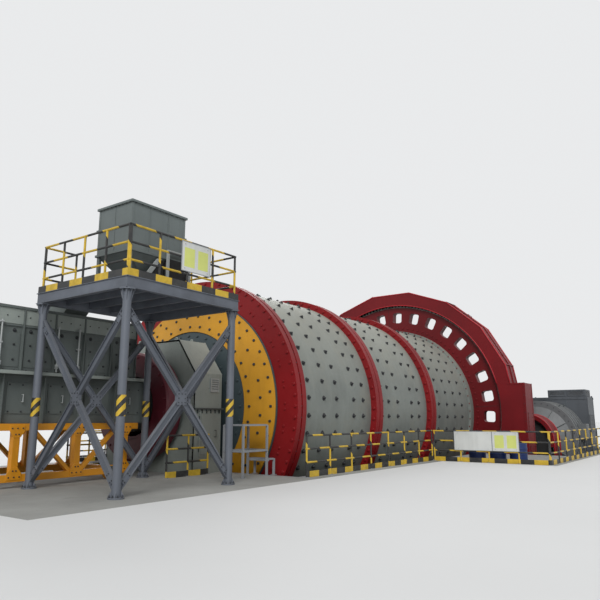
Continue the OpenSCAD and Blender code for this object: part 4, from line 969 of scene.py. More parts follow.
def brace_plates(plates, bolts):
    """A connecting plate with four bolts in each brace's end, and the bolts where braces cross."""
    rise = BRACE_HIGH - BRACE_LOW
    planes = []
    for y in LEG_Y:
        planes.append((LEG_X[1] - LEG_X[0], Vector(OUTWARD), spot(LEG_X[0], y, 0.0)))
    for x in LEG_X:
        planes.append((LEG_Y[1] - LEG_Y[0], Vector(AXIAL_BACK), spot(x, LEG_Y[0], 0.0)))
    up = Vector(UP)
    for span, along, origin in planes:
        normal = along.cross(up)
        for start, run in ((0.0, 1.0), (span, -1.0)):
            for level, lift in ((BRACE_LOW, 1.0), (BRACE_HIGH, -1.0)):
                lean = (along * run * span + up * lift * rise).normalized()
                place = placed(origin + along * start + up * level, lean, normal.cross(lean), normal)
                for sign in SIDES:
                    plates.box((0.16, -0.053, sign * 0.005), (0.40, 0.053, sign * BRACE_FACE), place)
                    bolts.nuts(place, (0.20, 0.36), (-0.028, 0.028), sign * BRACE_FACE, 0.014, normal * sign)
        centre = origin + along * (span / 2) + up * ((BRACE_LOW + BRACE_HIGH) / 2)
        for sign in SIDES:
            for a in (-0.09, 0.0, 0.09):
                for b in (-0.09, 0.0, 0.09):
                    if a or b:
                        head = centre + along * a + up * b + normal * sign * BRACE_FACE
                        bolts.nut(head, normal * sign, 0.014)


def leg_details(plates, bolts):
    """Hazard sleeves, foot fins, anchor bolts and the bolts of the end plates below the beams."""
    wraps = Builder()
    sleeve = [(LEG_R + 0.001, 0.0), (LEG_R + 0.005, 0.0), (LEG_R + 0.005, 0.40), (LEG_R + 0.001, 0.40)]
    for x in LEG_X:
        for y in LEG_Y:
            wraps.ring(sleeve, 32, Matrix.Translation(spot(x, y, 1.50)))
            foot = Matrix.Translation(spot(x, y, 0.03))
            for i in range(4):
                turn = Matrix.Rotation(math.radians(45.0 + i * 90.0), 4, "Z")
                place = foot @ turn @ Matrix.Translation((0.0, 0.007, 0.0)) @ STAND
                plates.extruded([(LEG_R - 0.004, -0.002), (FOOT_R - 0.012, -0.002), (FOOT_R - 0.012, 0.02),
                                 (LEG_R - 0.004, 0.13)], 0.014, place)
            for i in range(8):
                turn = math.radians(22.5 + i * 45.0)
                dx, dy = 0.126 * math.cos(turn), 0.126 * math.sin(turn)
                point = spot(x + dx, y + dy, 0.03)
                bolts.nut(point, UP, 0.018)
                bolts.tube(point, point + Vector((0.0, 0.0, 0.045)), 0.009, 6)
                bolts.nut(spot(x + dx, y + dy, DECK_H - BEAM_H - 0.03), DOWN, 0.016)
    wraps.make("leg_hazard_wraps", "foundation", "hazard", "rail_yellow")


def deck_details(plates, bolts):
    """Lips of the edge beams and feet under the railing's posts."""
    low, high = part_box("platform_deck")
    for z0, z1 in ((low[2], low[2] + 0.016), (high[2] - 0.018, high[2] - 0.002)):
        plates.bars(low[:2], high[:2], 0.001, 0.022, z0, z1)
    rail_low, rail_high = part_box("platform_railing")
    width = rail_high[0] - rail_low[0]
    length = rail_high[1] - rail_low[1]
    for i in range(5):
        x = rail_low[0] + 0.03 + i * (width - 0.06) / 4
        for y in (rail_low[1] + 0.03, rail_high[1] - 0.03):
            post_foot(plates, bolts, x, y, DECK_Z)
        y = rail_low[1] + 0.03 + i * (length - 0.06) / 4
        post_foot(plates, bolts, rail_high[0] - 0.03, y, DECK_Z)


def post_foot(plates, bolts, x, y, z, half=0.06):
    plates.box((x - half, y - half, z - 0.001), (x + half, y + half, z + 0.012))
    for dx in (-half * 0.68, half * 0.68):
        bolts.nut((x + dx, y + half * 0.4, z + 0.012), UP, 0.011)


def sign_plate(white, tinted, frame_bars, place, width, height, blocks):
    """A bare plate in a thin frame; the blocks are blank tinted fields on it."""
    white.box((-width / 2, -height / 2, 0.0), (width / 2, height / 2, 0.004), place)
    for x0, x1, y0, y1 in blocks:
        tinted.box((x0, y0, 0.004), (x1, y1, 0.0055), place)
    bar = 0.014
    frame_bars.bars((-width / 2, -height / 2), (width / 2, height / 2), 0.0, bar, -0.004, 0.010, place)
    frame_bars.nuts(place, (-width * 0.4, width * 0.4), (-height * 0.42, height * 0.42), 0.004, 0.010)


def signs():
    """Bare plates where the photo has notices: one on the platform's railing, two on the cross fence."""
    white, tinted, bars = Builder(), Builder(), Builder()
    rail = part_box("platform_railing")[1][0]
    sign_plate(white, tinted, bars, upright(spot(rail + 0.006, -4.39, 4.945), OUTWARD), 0.86, 0.65,
               ((-0.36, -0.05, -0.23, 0.20), (0.05, 0.36, -0.23, 0.20)))
    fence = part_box("drive_fences")[0][1] - MILL_Y
    sign_plate(white, tinted, bars, upright(spot(6.30, fence - 0.012, 0.71), AXIAL_FRONT), 1.30, 0.62, ())
    sign_plate(white, tinted, bars, upright(spot(7.41, fence - 0.012, 0.71), AXIAL_FRONT), 0.86, 0.62,
               ((-0.36, -0.05, -0.22, 0.20), (0.05, 0.36, -0.22, 0.20)))
    white.make("sign_plates", "foundation", "white", "stand_grey")
    tinted.make("sign_fields", "foundation", "sign_tint", "rail_yellow")
    bars.make("sign_frames", "foundation", "galvanized", "stand_grey")


def platform_details():
    plates, bolts = Builder(), Builder()
    brace_plates(plates, bolts)
    leg_details(plates, bolts)
    deck_details(plates, bolts)
    plates.make("platform_plates", "foundation", "steel", "platform_steel", 0.002)
    bolts.make("platform_bolts", "foundation", "bolt", "clutch_dark")


# Height of the hopper's straight box, below its rim
HOPPER_BOX_H = 1.10


def hopper_details():
    """Corner angles, side ribs, rim bolts, and the pale frame round a near black sheet that is partly the
    side chute and partly painted shade under the hopper.
    """
    low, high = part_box("hopper")
    rim = 0.04
    x0, x1 = low[0] + rim, high[0] - rim
    y0, y1 = low[1] + rim, high[1] - rim
    middle_x = (x0 + x1) / 2
    box_low = high[2] - HOPPER_BOX_H
    under_rim = high[2] - 0.05
    angles, bolts, dark, pale = Builder(), Builder(), Builder(), Builder()
    for x, sx in ((x0, -1), (x1, 1)):
        for y, sy in ((y0, -1), (y1, 1)):
            angles.box((x, y + sy * 0.006, box_low), (x + sx * 0.006, y - sy * 0.055, under_rim))
            angles.box((x, y, box_low), (x - sx * 0.055, y + sy * 0.006, under_rim))
    for x, sx in ((x0, -1), (x1, 1)):
        for y in (y0 + 0.50, y1 - 0.50):
            angles.box((x, y - 0.012, box_low + 0.02), (x + sx * 0.010, y + 0.012, under_rim))
    for y, sy in ((y0, -1), (y1, 1)):
        angles.box((middle_x - 0.012, y, box_low + 0.02), (middle_x + 0.012, y + sy * 0.010, under_rim))
    band = 0.035
    for z in (box_low - 0.02, box_low + 0.55):
        angles.bars((x0, y0), (x1, y1), 0.0, band, z, z + 0.05)
    for i in range(9):
        x = x0 + (i + 0.5) * (x1 - x0) / 9
        y = y0 + (i + 0.5) * (y1 - y0) / 9
        for side_y in (low[1] + 0.02, high[1] - 0.02):
            bolts.nut((x, side_y, under_rim), DOWN, 0.014)
        for side_x in (low[0] + 0.02, high[0] - 0.02):
            bolts.nut((side_x, y, under_rim), DOWN, 0.014)
    frame_x = high[0] + 0.015
    start, end = MILL_Y - 4.83, MILL_Y - 4.14
    top = DECK_Z + 0.86
    post = 0.055
    for y in (start, end - post):
        pale.box((frame_x, y, DECK_Z), (frame_x + post, y + post, top))
    pale.box((frame_x, start, top), (frame_x + post, end, top + post))
    pale.box((frame_x, start + post, DECK_Z + 0.02), (frame_x + post, end - post, DECK_Z + 0.07))
    # Near black sheets beside the pale frame: partly the side chute, partly painted shade for the shadow
    # under the hopper
    dark.box((x1 - 0.30, start + 0.03, DECK_Z + 0.002), (frame_x + 0.012, end - 0.03, box_low - 0.005))
    place = Matrix.Translation((x1 - 0.02, MILL_Y - 5.55, DECK_Z))
    slant = [(0.0, 0.0), (0.12, 0.0), (0.62, 0.68), (0.50, 0.68)]
    turn = Matrix(((0, 0, 1), (1, 0, 0), (0, 1, 0))).to_4x4()
    pale.extruded(slant, 0.045, place @ turn)
    dark.extruded([(0.13, 0.0), (0.70, 0.0), (0.70, 0.66), (0.61, 0.66)], 0.02, place @ turn)
    angles.make("hopper_angles", "foundation", "hopper", "hopper_paint", 0.002)
    bolts.make("hopper_bolts", "foundation", "bolt", "clutch_dark")
    dark.make("hopper_chute_and_painted_shade", "foundation", "soot", "clutch_dark", 0.003)
    pale.make("hopper_side_frame", "foundation", "pale", "hopper_paint", 0.003)


# The chute box: half widths of its upper and lower parts, and heights over the floor
CHUTE_HALF, CHUTE_LOW_HALF = 1.12, 0.92
CHUTE_Y = (-8.00, -3.30)
CHUTE_BAYS = 6
CHUTE_LOW_Y = -7.70
CHUTE_LOW_BAYS = 5
CHUTE_LEDGE = (2.40, 2.49)
CHUTE_TOP = 3.90


def chute_details():
    """Dark bolts in each bay, the pale top band, pale rods on brackets, and door plates on the lower box."""
    bolts, pale, plates, rods = Builder(), Builder(), Builder(), Builder()
    pitch = (CHUTE_Y[1] - CHUTE_Y[0] - 0.03) / CHUTE_BAYS
    for side in SIDES:
        mirror = mirrored(side)
        for bay in range(CHUTE_BAYS):
            start = CHUTE_Y[0] + bay * pitch
            for y in (0.20, 0.60):
                for z in (2.72, 3.05, 3.36):
                    point = mirror @ spot(CHUTE_HALF, start + y, z)
                    bolts.bolt(point, (side, 0.0, 0.0), 0.026)
            for strip, proud, y0, y1, z0, z1 in ((plates, 0.012, 0.07, 0.74, 2.56, 3.30),
                                                 (pale, 0.020, 0.035, pitch, 3.50, 3.838),
                                                 (plates, 0.030, 0.035, pitch, 3.45, 3.49)):
                strip.box(spot(CHUTE_HALF - 0.001, start + y0, z0), spot(CHUTE_HALF + proud, start + y1, z1),
                          mirror)
            for y in (0.15, 0.40, 0.65):
                bolts.nut(mirror @ spot(CHUTE_HALF + 0.020, start + y, 3.67), (side, 0.0, 0.0), 0.016)
                bolts.nut(mirror @ spot(CHUTE_HALF + 0.035, start + y, CHUTE_LEDGE[1]), UP, 0.020)
        ledge = CHUTE_HALF + 0.06
        pale.box(spot(ledge - 0.001, CHUTE_Y[0], CHUTE_LEDGE[0] + 0.008),
                 spot(ledge + 0.012, CHUTE_Y[1] + 0.5, CHUTE_LEDGE[1] - 0.008), mirror)
        for y in (-6.95, -5.60, -5.05, -3.75):
            x = CHUTE_HALF + 0.085
            rods.tube(mirror @ spot(x, y, 2.50), mirror @ spot(x, y, 3.56), 0.018)
            for z in (2.58, 3.05, 3.50):
                rods.box(spot(CHUTE_HALF - 0.001, y - 0.03, z), spot(x + 0.024, y + 0.03, z + 0.035), mirror)
            rods.turned([(0.0, 0.0), (0.045, 0.0), (0.045, 0.05), (0.0, 0.05)], 12,
                        Matrix.Translation(mirror @ spot(x, y, 2.62)))
        lower_pitch = (CHUTE_Y[1] + 0.5 - CHUTE_LOW_Y - 0.03) / CHUTE_LOW_BAYS
        for bay in range(CHUTE_LOW_BAYS):
            start = CHUTE_LOW_Y + bay * lower_pitch
            plates.box(spot(CHUTE_LOW_HALF - 0.001, start + 0.16, 1.56),
                       spot(CHUTE_LOW_HALF + 0.016, start + 0.86, 2.24), mirror)
            for y in (0.21, 0.51, 0.81):
                for z in (1.61, 2.19):
                    bolts.nut(mirror @ spot(CHUTE_LOW_HALF + 0.016, start + y, z), (side, 0.0, 0.0), 0.020)
            handle(rods, mirror @ upright(spot(CHUTE_LOW_HALF + 0.016, start + 0.51, 1.90), OUTWARD), 0.08)
    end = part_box("chute_box")[1][1]
    for x in (-0.78, -0.26, 0.26, 0.78):
        for z in (2.70, 3.20, 3.70):
            bolts.bolt((x, MILL_Y + CHUTE_Y[1], FLOOR_Z + z), AXIAL_BACK, 0.030)
            bolts.bolt((x, MILL_Y + CHUTE_Y[0], FLOOR_Z + z), AXIAL_FRONT, 0.030)
    ring = facing((0.0, end, AXIS_Z), AXIAL_BACK)
    bolts.nut_circle(ring, 0.745, 20, 0.060, AXIAL_BACK, 0.024)
    for i in range(5):
        y = CHUTE_Y[0] + 0.55 + i * 0.88
        plates.box(spot(-0.42, y, CHUTE_TOP - 0.001), spot(0.42, y + 0.52, CHUTE_TOP + 0.018))
        for x in (-0.37, 0.37):
            for dy in (0.06, 0.26, 0.46):
                bolts.nut(spot(x, y + dy, CHUTE_TOP + 0.018), UP, 0.016)
    bolts.make("chute_bolts", "foundation", "bolt", "clutch_dark")
    pale.make("chute_top_band", "foundation", "casing", "chute_steel", 0.003)
    plates.make("chute_plates", "foundation", "chute", "chute_steel", 0.003)
    rods.make("chute_rods", "foundation", "pale", "chute_steel")


TROLLEY_HALF = 1.12
TROLLEY_Y = (-7.94, -3.40)


def trolley_details():
    """Gusset plates, wheel caps and end buffers of the chute's trolley."""
    plates, bolts, caps = Builder(), Builder(), Builder()
    span = (TROLLEY_Y[1] - TROLLEY_Y[0]) / 3
    for side in SIDES:
        mirror = mirrored(side)
        for i in range(4):
            y = TROLLEY_Y[0] + i * span + (0.075 if i < 3 else -0.075)
            for z, lift in ((0.28, 1.0), (1.20, -1.0)):
                place = mirror @ upright(spot(TROLLEY_HALF, y, z), OUTWARD)
                outline = [(-0.17, -0.11), (0.17, -0.11), (0.17, 0.02), (0.07, 0.15), (-0.07, 0.15),
                           (-0.17, 0.02)]
                if lift < 0:
                    outline = [(a, -b) for a, b in outline][::-1]
                plates.extruded(outline, 0.012, place @ Matrix.Translation((0.0, 0.0, -0.001)))
                for a, b in ((-0.12, -0.05), (0.0, -0.05), (0.12, -0.05), (-0.035, 0.08), (0.035, 0.08)):
                    bolts.nut(place @ Vector((a, b * lift, 0.011)), (side, 0.0, 0.0), 0.017)
        for y in (-7.50, -3.85):
            hub = facing(mirror @ spot(TROLLEY_HALF - 0.016, y, 0.17), (side, 0.0, 0.0))
            caps.turned([(0.0, 0.0), (0.150, 0.0), (0.150, 0.012), (0.075, 0.020), (0.070, 0.060),
                         (0.045, 0.075), (0.0, 0.075)], 28, hub)
            bolts.nut_circle(hub, 0.112, 6, 0.014, (side, 0.0, 0.0), 0.012)
        for y, way in ((TROLLEY_Y[0], AXIAL_FRONT), (TROLLEY_Y[1], AXIAL_BACK)):
            buffer = facing(mirror @ spot(TROLLEY_HALF - 0.075, y, 0.205), way)
            caps.turned([(0.0, 0.0), (0.060, 0.0), (0.060, 0.05), (0.070, 0.055), (0.070, 0.095),
                         (0.050, 0.11), (0.0, 0.11)], 20, buffer)
    plates.make("trolley_gussets", "foundation", "trolley", "trolley_orange", 0.002)
    bolts.make("trolley_bolts", "foundation", "bolt", "clutch_dark")
    caps.make("trolley_wheel_caps", "foundation", "bearing", "bearing_paint", 0.002)


PLINTH_Z = PINION_Z - 1.90
CLUTCH_GUARD_R = 1.18
CLUTCH_GUARD_Y = (15.95, 17.09)


def at_pinion(side, distance):
    """A placement on a pinion's axis: X outwards from the mill, Y towards the discharge, Z up."""
    return mirrored(side) @ Matrix.Translation((PINION_X, MILL_Y + distance, PINION_Z))


def arch(radius, foot, steps=28):
    """Points across the hall and up: from the outer foot, round over the axis, to the inner foot."""
    turns = [math.pi * i / steps for i in range(steps + 1)]
    curve = [(radius * math.cos(turn), radius * math.sin(turn)) for turn in turns]
    return [(radius, foot)] + curve + [(-radius, foot)]


def clutch_guard_details():
    """Beads, bolted rings, hatches, foot angles and lugs of the round clutch guards."""
    beads, bolts, plates, handles = Builder(), Builder(), Builder(), Builder()
    foot = PLINTH_Z - PINION_Z
    front, back = CLUTCH_GUARD_Y
    for side in SIDES:
        here = at_pinion(side, 0.0)
        for y in (front + 0.004, back - 0.004):
            edge = arch(CLUTCH_GUARD_R + 0.006, foot + 0.02)
            beads.sweep([here @ Vector((x, y, z)) for x, z in edge], 0.022, 8)
        for y in (front + 0.40, back - 0.40):
            points = arch(CLUTCH_GUARD_R, foot + 0.10)
            for (xa, za), (xb, zb) in zip(points, points[1:]):
                way = Vector((xb - xa, 0.0, zb - za))
                front_way = Vector(AXIAL_FRONT)
                out = way.normalized().cross(front_way)
                place = here @ placed((xa, y, za), way.normalized(), front_way, out)
                plates.box((-0.002, -0.030, -0.006), (way.length + 0.002, 0.030, 0.010), place)
        for i in range(17):
            turn = math.radians(-10.0 + i * 12.5)
            x, z = 1.095 * math.cos(turn), 1.095 * math.sin(turn)
            bolts.nut(here @ Vector((x, front, z)), AXIAL_FRONT, 0.020)
            bolts.nut(here @ Vector((x, back, z)), AXIAL_BACK, 0.020)
        for out in SIDES:
            hatch = here @ Matrix.Translation((out * CLUTCH_GUARD_R, (front + back) / 2, -0.95)) @ upright(
                (0.0, 0.0, 0.0), (out, 0.0, 0.0))
            plates.box((-0.40, -0.36, -0.003), (0.40, 0.36, 0.014), hatch)
            bolts.nuts(hatch, (-0.35, 0.0, 0.35), (-0.31, 0.31), 0.014, 0.016)
            handle(handles, hatch @ Matrix.Translation((0.25, 0.0, 0.014)), 0.08)
            side_x = out * (CLUTCH_GUARD_R - 0.002)
            for x, z0, z1 in ((0.075, foot, foot + 0.014), (0.014, foot + 0.014, foot + 0.080)):
                plates.box((side_x, front + 0.02, z0), (out * (CLUTCH_GUARD_R + x), back - 0.02, z1), here)
            for y in (front + 0.12, (front + back) / 2, back - 0.12):
                anchor = here @ Vector((out * (CLUTCH_GUARD_R + 0.045), y, foot + 0.014))
                bolts.nut(anchor, UP, 0.018)
        for y in (front + 0.20, back - 0.20):
            lug = here @ Matrix.Translation((0.0, y, CLUTCH_GUARD_R - 0.004)) @ STAND
            plates.extruded([(-0.07, 0.0), (0.07, 0.0), (0.05, 0.09), (0.02, 0.12), (-0.02, 0.12),
                             (-0.05, 0.09)], 0.018, lug)
    # The beads take the brighter red, a painted highlight
    beads.make("clutch_guard_beads", "foundation", "painted_highlight_red", "guard_red", 0.0, True)
    bolts.make("clutch_guard_bolts", "foundation", "bolt", "clutch_dark")
    plates.make("clutch_guard_plates", "foundation", "guard", "guard_red", 0.002)
    handles.make("clutch_guard_handles", "foundation", "bolt", "clutch_dark")


BLOCK_FACES = ((13.14, 13.50), (14.86, 15.22))
BLOCK_CAP_R = 0.33


def pinion_block_details():
    """End covers, cap bolts, sole bolts and oil cups of the four pinion bearings."""
    covers, bolts = Builder(), Builder()
    for side in SIDES:
        here = at_pinion(side, 0.0)
        for front, back in BLOCK_FACES:
            middle = (front + back) / 2
            for y, way in ((front, AXIAL_FRONT), (back, AXIAL_BACK)):
                cover = facing(here @ Vector((0.0, y, 0.0)), way)
                covers.ring([(0.193, 0.0), (0.290, 0.0), (0.290, 0.022), (0.235, 0.034), (0.193, 0.034)],
                            40, cover)
                bolts.nut_circle(cover, 0.264, 8, 0.022, way, 0.014, 22.5)
            for out in SIDES:
                covers.box((out * (BLOCK_CAP_R - 0.004), front + 0.03, -0.075),
                           (out * (BLOCK_CAP_R + 0.085), back - 0.03, 0.075), here)
                for y in (front + 0.09, back - 0.09):
                    head = here @ Vector((out * (BLOCK_CAP_R + 0.042), y, 0.075))
                    bolts.bolt(head, UP, 0.024)
                    sole = here @ Vector((out * 0.375, y, PLINTH_Z - PINION_Z + 0.30))
                    bolts.bolt(sole, UP, 0.020)
            cup = here @ Matrix.Translation((0.0, middle, BLOCK_CAP_R - 0.004))
            covers.turned([(0.0, 0.0), (0.035, 0.0), (0.035, 0.05), (0.055, 0.06), (0.055, 0.12),
                           (0.0, 0.13)], 16, cup)
    covers.make("pinion_block_covers", "foundation", "guard", "bearing_paint", 0.003)
    bolts.make("pinion_block_bolts", "foundation", "bolt", "clutch_dark")


MOTOR_Y = 17.27
SHIELD_Y = 17.77
STATOR_R, STATOR_LEN = 1.85, 2.10
STATOR_RIBS, RIB_T, RIB_H = 5, 0.13, 0.08
NOSE_R, NOSE_LEN, SHIELD_R = 0.777, 0.18, 1.554
# A lifting eye's line: along the motor and outwards
EYE_LINE = ((-0.06, 0.0), (-0.06, 0.07), (-0.035, 0.115), (0.035, 0.115), (0.06, 0.07), (0.06, 0.0))


def at_turn(side, angle, distance=0.0):
    """A placement about a motor's axis: X outwards from the axis, Y towards the discharge, Z round it."""
    return at_pinion(side, distance) @ Matrix.Rotation(-math.radians(angle), 4, "Y")


def motor_details():
    """Shield ribs and bolts, bars between the frame's ribs, lifting eyes, terminal boxes and foot plates."""
    metal, bolts, dark = Builder(), Builder(), Builder()
    foot = PLINTH_Z - PINION_Z
    inner = STATOR_R - RIB_H
    for side in SIDES:
        here = at_pinion(side, 0.0)
        for i in range(12):
            rib = at_turn(side, i * 30.0) @ Matrix.Translation((0.0, 0.0, -0.015))
            metal.extruded([(NOSE_R - 0.01, MOTOR_Y + 0.06), (NOSE_R + 0.10, MOTOR_Y + 0.08),
                            (SHIELD_R, SHIELD_Y - 0.09), (SHIELD_R, SHIELD_Y + 0.002),
                            (NOSE_R, MOTOR_Y + NOSE_LEN + 0.004)], 0.03, rib)
            bolt = at_turn(side, i * 30.0) @ Vector((NOSE_R - 0.09, MOTOR_Y, 0.0))
            bolts.nut(bolt, AXIAL_FRONT, 0.024)
        for i in range(36):
            bolt = at_turn(side, i * 10.0) @ Vector((STATOR_R - 0.13, SHIELD_Y, 0.0))
            bolts.nut(bolt, AXIAL_FRONT, 0.024)
        collar = facing(here @ Vector((0.0, MOTOR_Y, 0.0)), AXIAL_FRONT)
        dark.ring([(0.20, -0.002), (0.42, -0.002), (0.42, 0.030), (0.30, 0.055), (0.20, 0.055)], 40, collar)
        for i in range(27):
            angle = -12.0 + i * 8.0
            bar = at_turn(side, angle)
            metal.box((inner - 0.004, SHIELD_Y + 0.02, -0.018),
                      (inner + 0.034, SHIELD_Y + STATOR_LEN - 0.02, 0.018), bar)
        for angle in (58.0, 122.0):
            for rib in (1, 3):
                y = SHIELD_Y + rib * (STATOR_LEN - RIB_T) / (STATOR_RIBS - 1) + RIB_T / 2
                eye = at_turn(side, angle)
                loop = [eye @ Vector((STATOR_R - 0.01 + r, y + s, 0.0)) for s, r in EYE_LINE]
                dark.sweep(loop, 0.018, 8)
        case = at_turn(side, 0.0)
        middle = SHIELD_Y + STATOR_LEN / 2
        metal.box((inner - 0.02, middle - 0.34, 0.02), (STATOR_R + 0.26, middle + 0.34, 0.72), case)
        metal.box((STATOR_R + 0.26, middle - 0.31, 0.05), (STATOR_R + 0.276, middle + 0.31, 0.69), case)
        for a in (-0.27, 0.0, 0.27):
            for b in (0.09, 0.65):
                bolts.nut(case @ Vector((STATOR_R + 0.276, middle + a, b)), (side, 0.0, 0.0), 0.014)
        for out in SIDES:
            metal.box((out * 1.17, SHIELD_Y + 0.10, foot),
                      (out * 1.90, SHIELD_Y + STATOR_LEN - 0.10, foot + 0.06), here)
            for i in range(5):
                y = SHIELD_Y + 0.22 + i * (STATOR_LEN - 0.44) / 4
                bolts.bolt(here @ Vector((out * 1.81, y, foot + 0.06)), UP, 0.030)
            for i in range(4):
                y = SHIELD_Y + 0.30 + i * (STATOR_LEN - 0.60) / 3
                rib = here @ Matrix.Translation((0.0, y, 0.0)) @ STAND
                outline = [(out * 1.72, foot + 0.05), (out * 1.87, foot + 0.05), (out * 1.87, foot + 0.14),
                           (out * 1.72, foot + 0.75)]
                metal.extruded(outline if out > 0 else outline[::-1], 0.03, rib)
    metal.make("motor_ribs_and_boxes", "foundation", "motor", "motor_grey", 0.003)
    bolts.make("motor_bolts", "foundation", "bolt", "clutch_dark")
    dark.make("motor_eyes_and_seals", "foundation", "bearing", "clutch_dark", 0.0)


COOLER_X = (4.68, 7.68)
COOLER_Y = (19.93, 21.43)
COOLER_TOP = 2.55
HOOD_X = (5.78, 7.58)
HOOD_Y = (20.03, 21.33)


def cooler_details():
    """Corner angles, seams, louvres, doors, hood grilles and lifting lugs of the motor coolers."""
    angles, grilles, bolts, handles = Builder(), Builder(), Builder(), Builder()
    base = PLINTH_Z - FLOOR_Z
    for side in SIDES:
        mirror = mirrored(side)
        for x, sx in ((COOLER_X[0], -1), (COOLER_X[1], 1)):
            for y, sy in ((COOLER_Y[0], -1), (COOLER_Y[1], 1)):
                corner = spot(x + sx * 0.008, y + sy * 0.008, base)
                for dx, dy in ((0.07, 0.002), (0.002, 0.07)):
                    angles.box(corner, spot(x - sx * dx, y - sy * dy, COOLER_TOP - 0.12), mirror)
        for low, high in ((base, base + 0.14), (base + 1.62, base + 1.68)):
            for y in (COOLER_Y[0] - 0.012, COOLER_Y[1] - 0.002):
                angles.box(spot(COOLER_X[0] - 0.012, y, low),
                           spot(COOLER_X[1] + 0.012, y + 0.014, high), mirror)
            for x in (COOLER_X[0] - 0.012, COOLER_X[1] - 0.002):
                angles.box(spot(x, COOLER_Y[0], low), spot(x + 0.014, COOLER_Y[1], high), mirror)
        for x in (5.68, 6.68):
            for y in (COOLER_Y[0] - 0.008, COOLER_Y[1] - 0.002):
                angles.box(spot(x - 0.025, y, base + 0.14),
                           spot(x + 0.025, y + 0.010, COOLER_TOP - 0.12), mirror)
        for z in (base + 0.75, base + 2.65):
            for way, x in ((1.0, COOLER_X[1]), (-1.0, COOLER_X[0])):
                face = mirror @ upright(spot(x, sum(COOLER_Y) / 2, z), (way, 0.0, 0.0))
                grilles.louvres(face, 1.15, 1.00 if z < base + 1.0 else 0.85, 12)
            for x in (5.18, 6.18, 7.18):
                face = mirror @ upright(spot(x, COOLER_Y[1], z), AXIAL_BACK)
                if z < base + 1.0:
                    angles.box((-0.38, -0.52, -0.002), (0.38, 0.52, 0.016), face)
                    handle(handles, face @ Matrix.Translation((0.30, 0.0, 0.016)), 0.09)
                    for b in (-0.40, 0.40):
                        hinge_pin(handles, face, -0.385, b, 0.018, 0.05, 0.012)
                else:
                    grilles.louvres(face, 0.78, 0.85, 10)
        for y, way in ((HOOD_Y[0], AXIAL_FRONT), (HOOD_Y[1], AXIAL_BACK)):
            for x in (6.23, 7.13):
                grilles.louvres(mirror @ upright(spot(x, y, 2.74), way), 0.78, 0.26, 4, 0.02)
        for x, way in ((HOOD_X[0], (-1.0, 0.0, 0.0)), (HOOD_X[1], OUTWARD)):
            grilles.louvres(mirror @ upright(spot(x, sum(HOOD_Y) / 2, 2.74), way), 1.10, 0.26, 4, 0.02)
        for x in [COOLER_X[0] + 0.10 + i * 0.35 for i in range(9)]:
            for y, way in ((COOLER_Y[0] - 0.020, AXIAL_FRONT), (COOLER_Y[1] + 0.020, AXIAL_BACK)):
                bolts.nut(mirror @ spot(x, y, COOLER_TOP - 0.06), way, 0.014)
        for x in (COOLER_X[0] + 0.12, COOLER_X[1] - 0.05):
            for y in (COOLER_Y[0] + 0.05, COOLER_Y[1] - 0.05):
                lug = mirror @ Matrix.Translation(spot(x, y + 0.009, COOLER_TOP - 0.002)) @ STAND
                angles.extruded([(-0.05, 0.0), (0.05, 0.0), (0.035, 0.08), (-0.035, 0.08)], 0.018, lug)
    angles.make("cooler_angles", "foundation", "cooler", "motor_grey", 0.002)
    grilles.make("cooler_grilles", "foundation", "cooler", "motor_grey")
    bolts.make("cooler_bolts", "foundation", "bolt", "clutch_dark")
    handles.make("cooler_handles", "foundation", "bolt", "clutch_dark")


# The flange at the discharge trunnion's mouth
MOUTH_Y = (16.44, 16.51)


def trunnion_details():
    """Bolts of the maroon inlet ring and the bolted flange at the discharge trunnion's mouth."""
    rings = Builder()
    for y, way in ((-2.45, AXIAL_FRONT), (-1.95, AXIAL_BACK)):
        bolt_circle(rings, 1.36, y, 24, 0.034, way, 7.5)
    start, end = MOUTH_Y
    mouth = facing((0.0, MILL_Y + start, AXIS_Z), AXIAL_BACK)
    rings.ring([(1.248, 0.0), (1.36, 0.0), (1.36, 0.07), (1.248, 0.07)], 96, mouth)
    for y, way in ((start, AXIAL_FRONT), (end, AXIAL_BACK)):
        bolt_circle(rings, 1.305, y, 28, 0.026, way)
    rings.make("trunnion_bolts", "drum", "maroon", "trunnion_maroon")


LUBE_X, LUBE_Y = (6.08, 6.80, 7.52), 8.08
STAND_X, GRATING_PITCH = 2.975, 0.0406


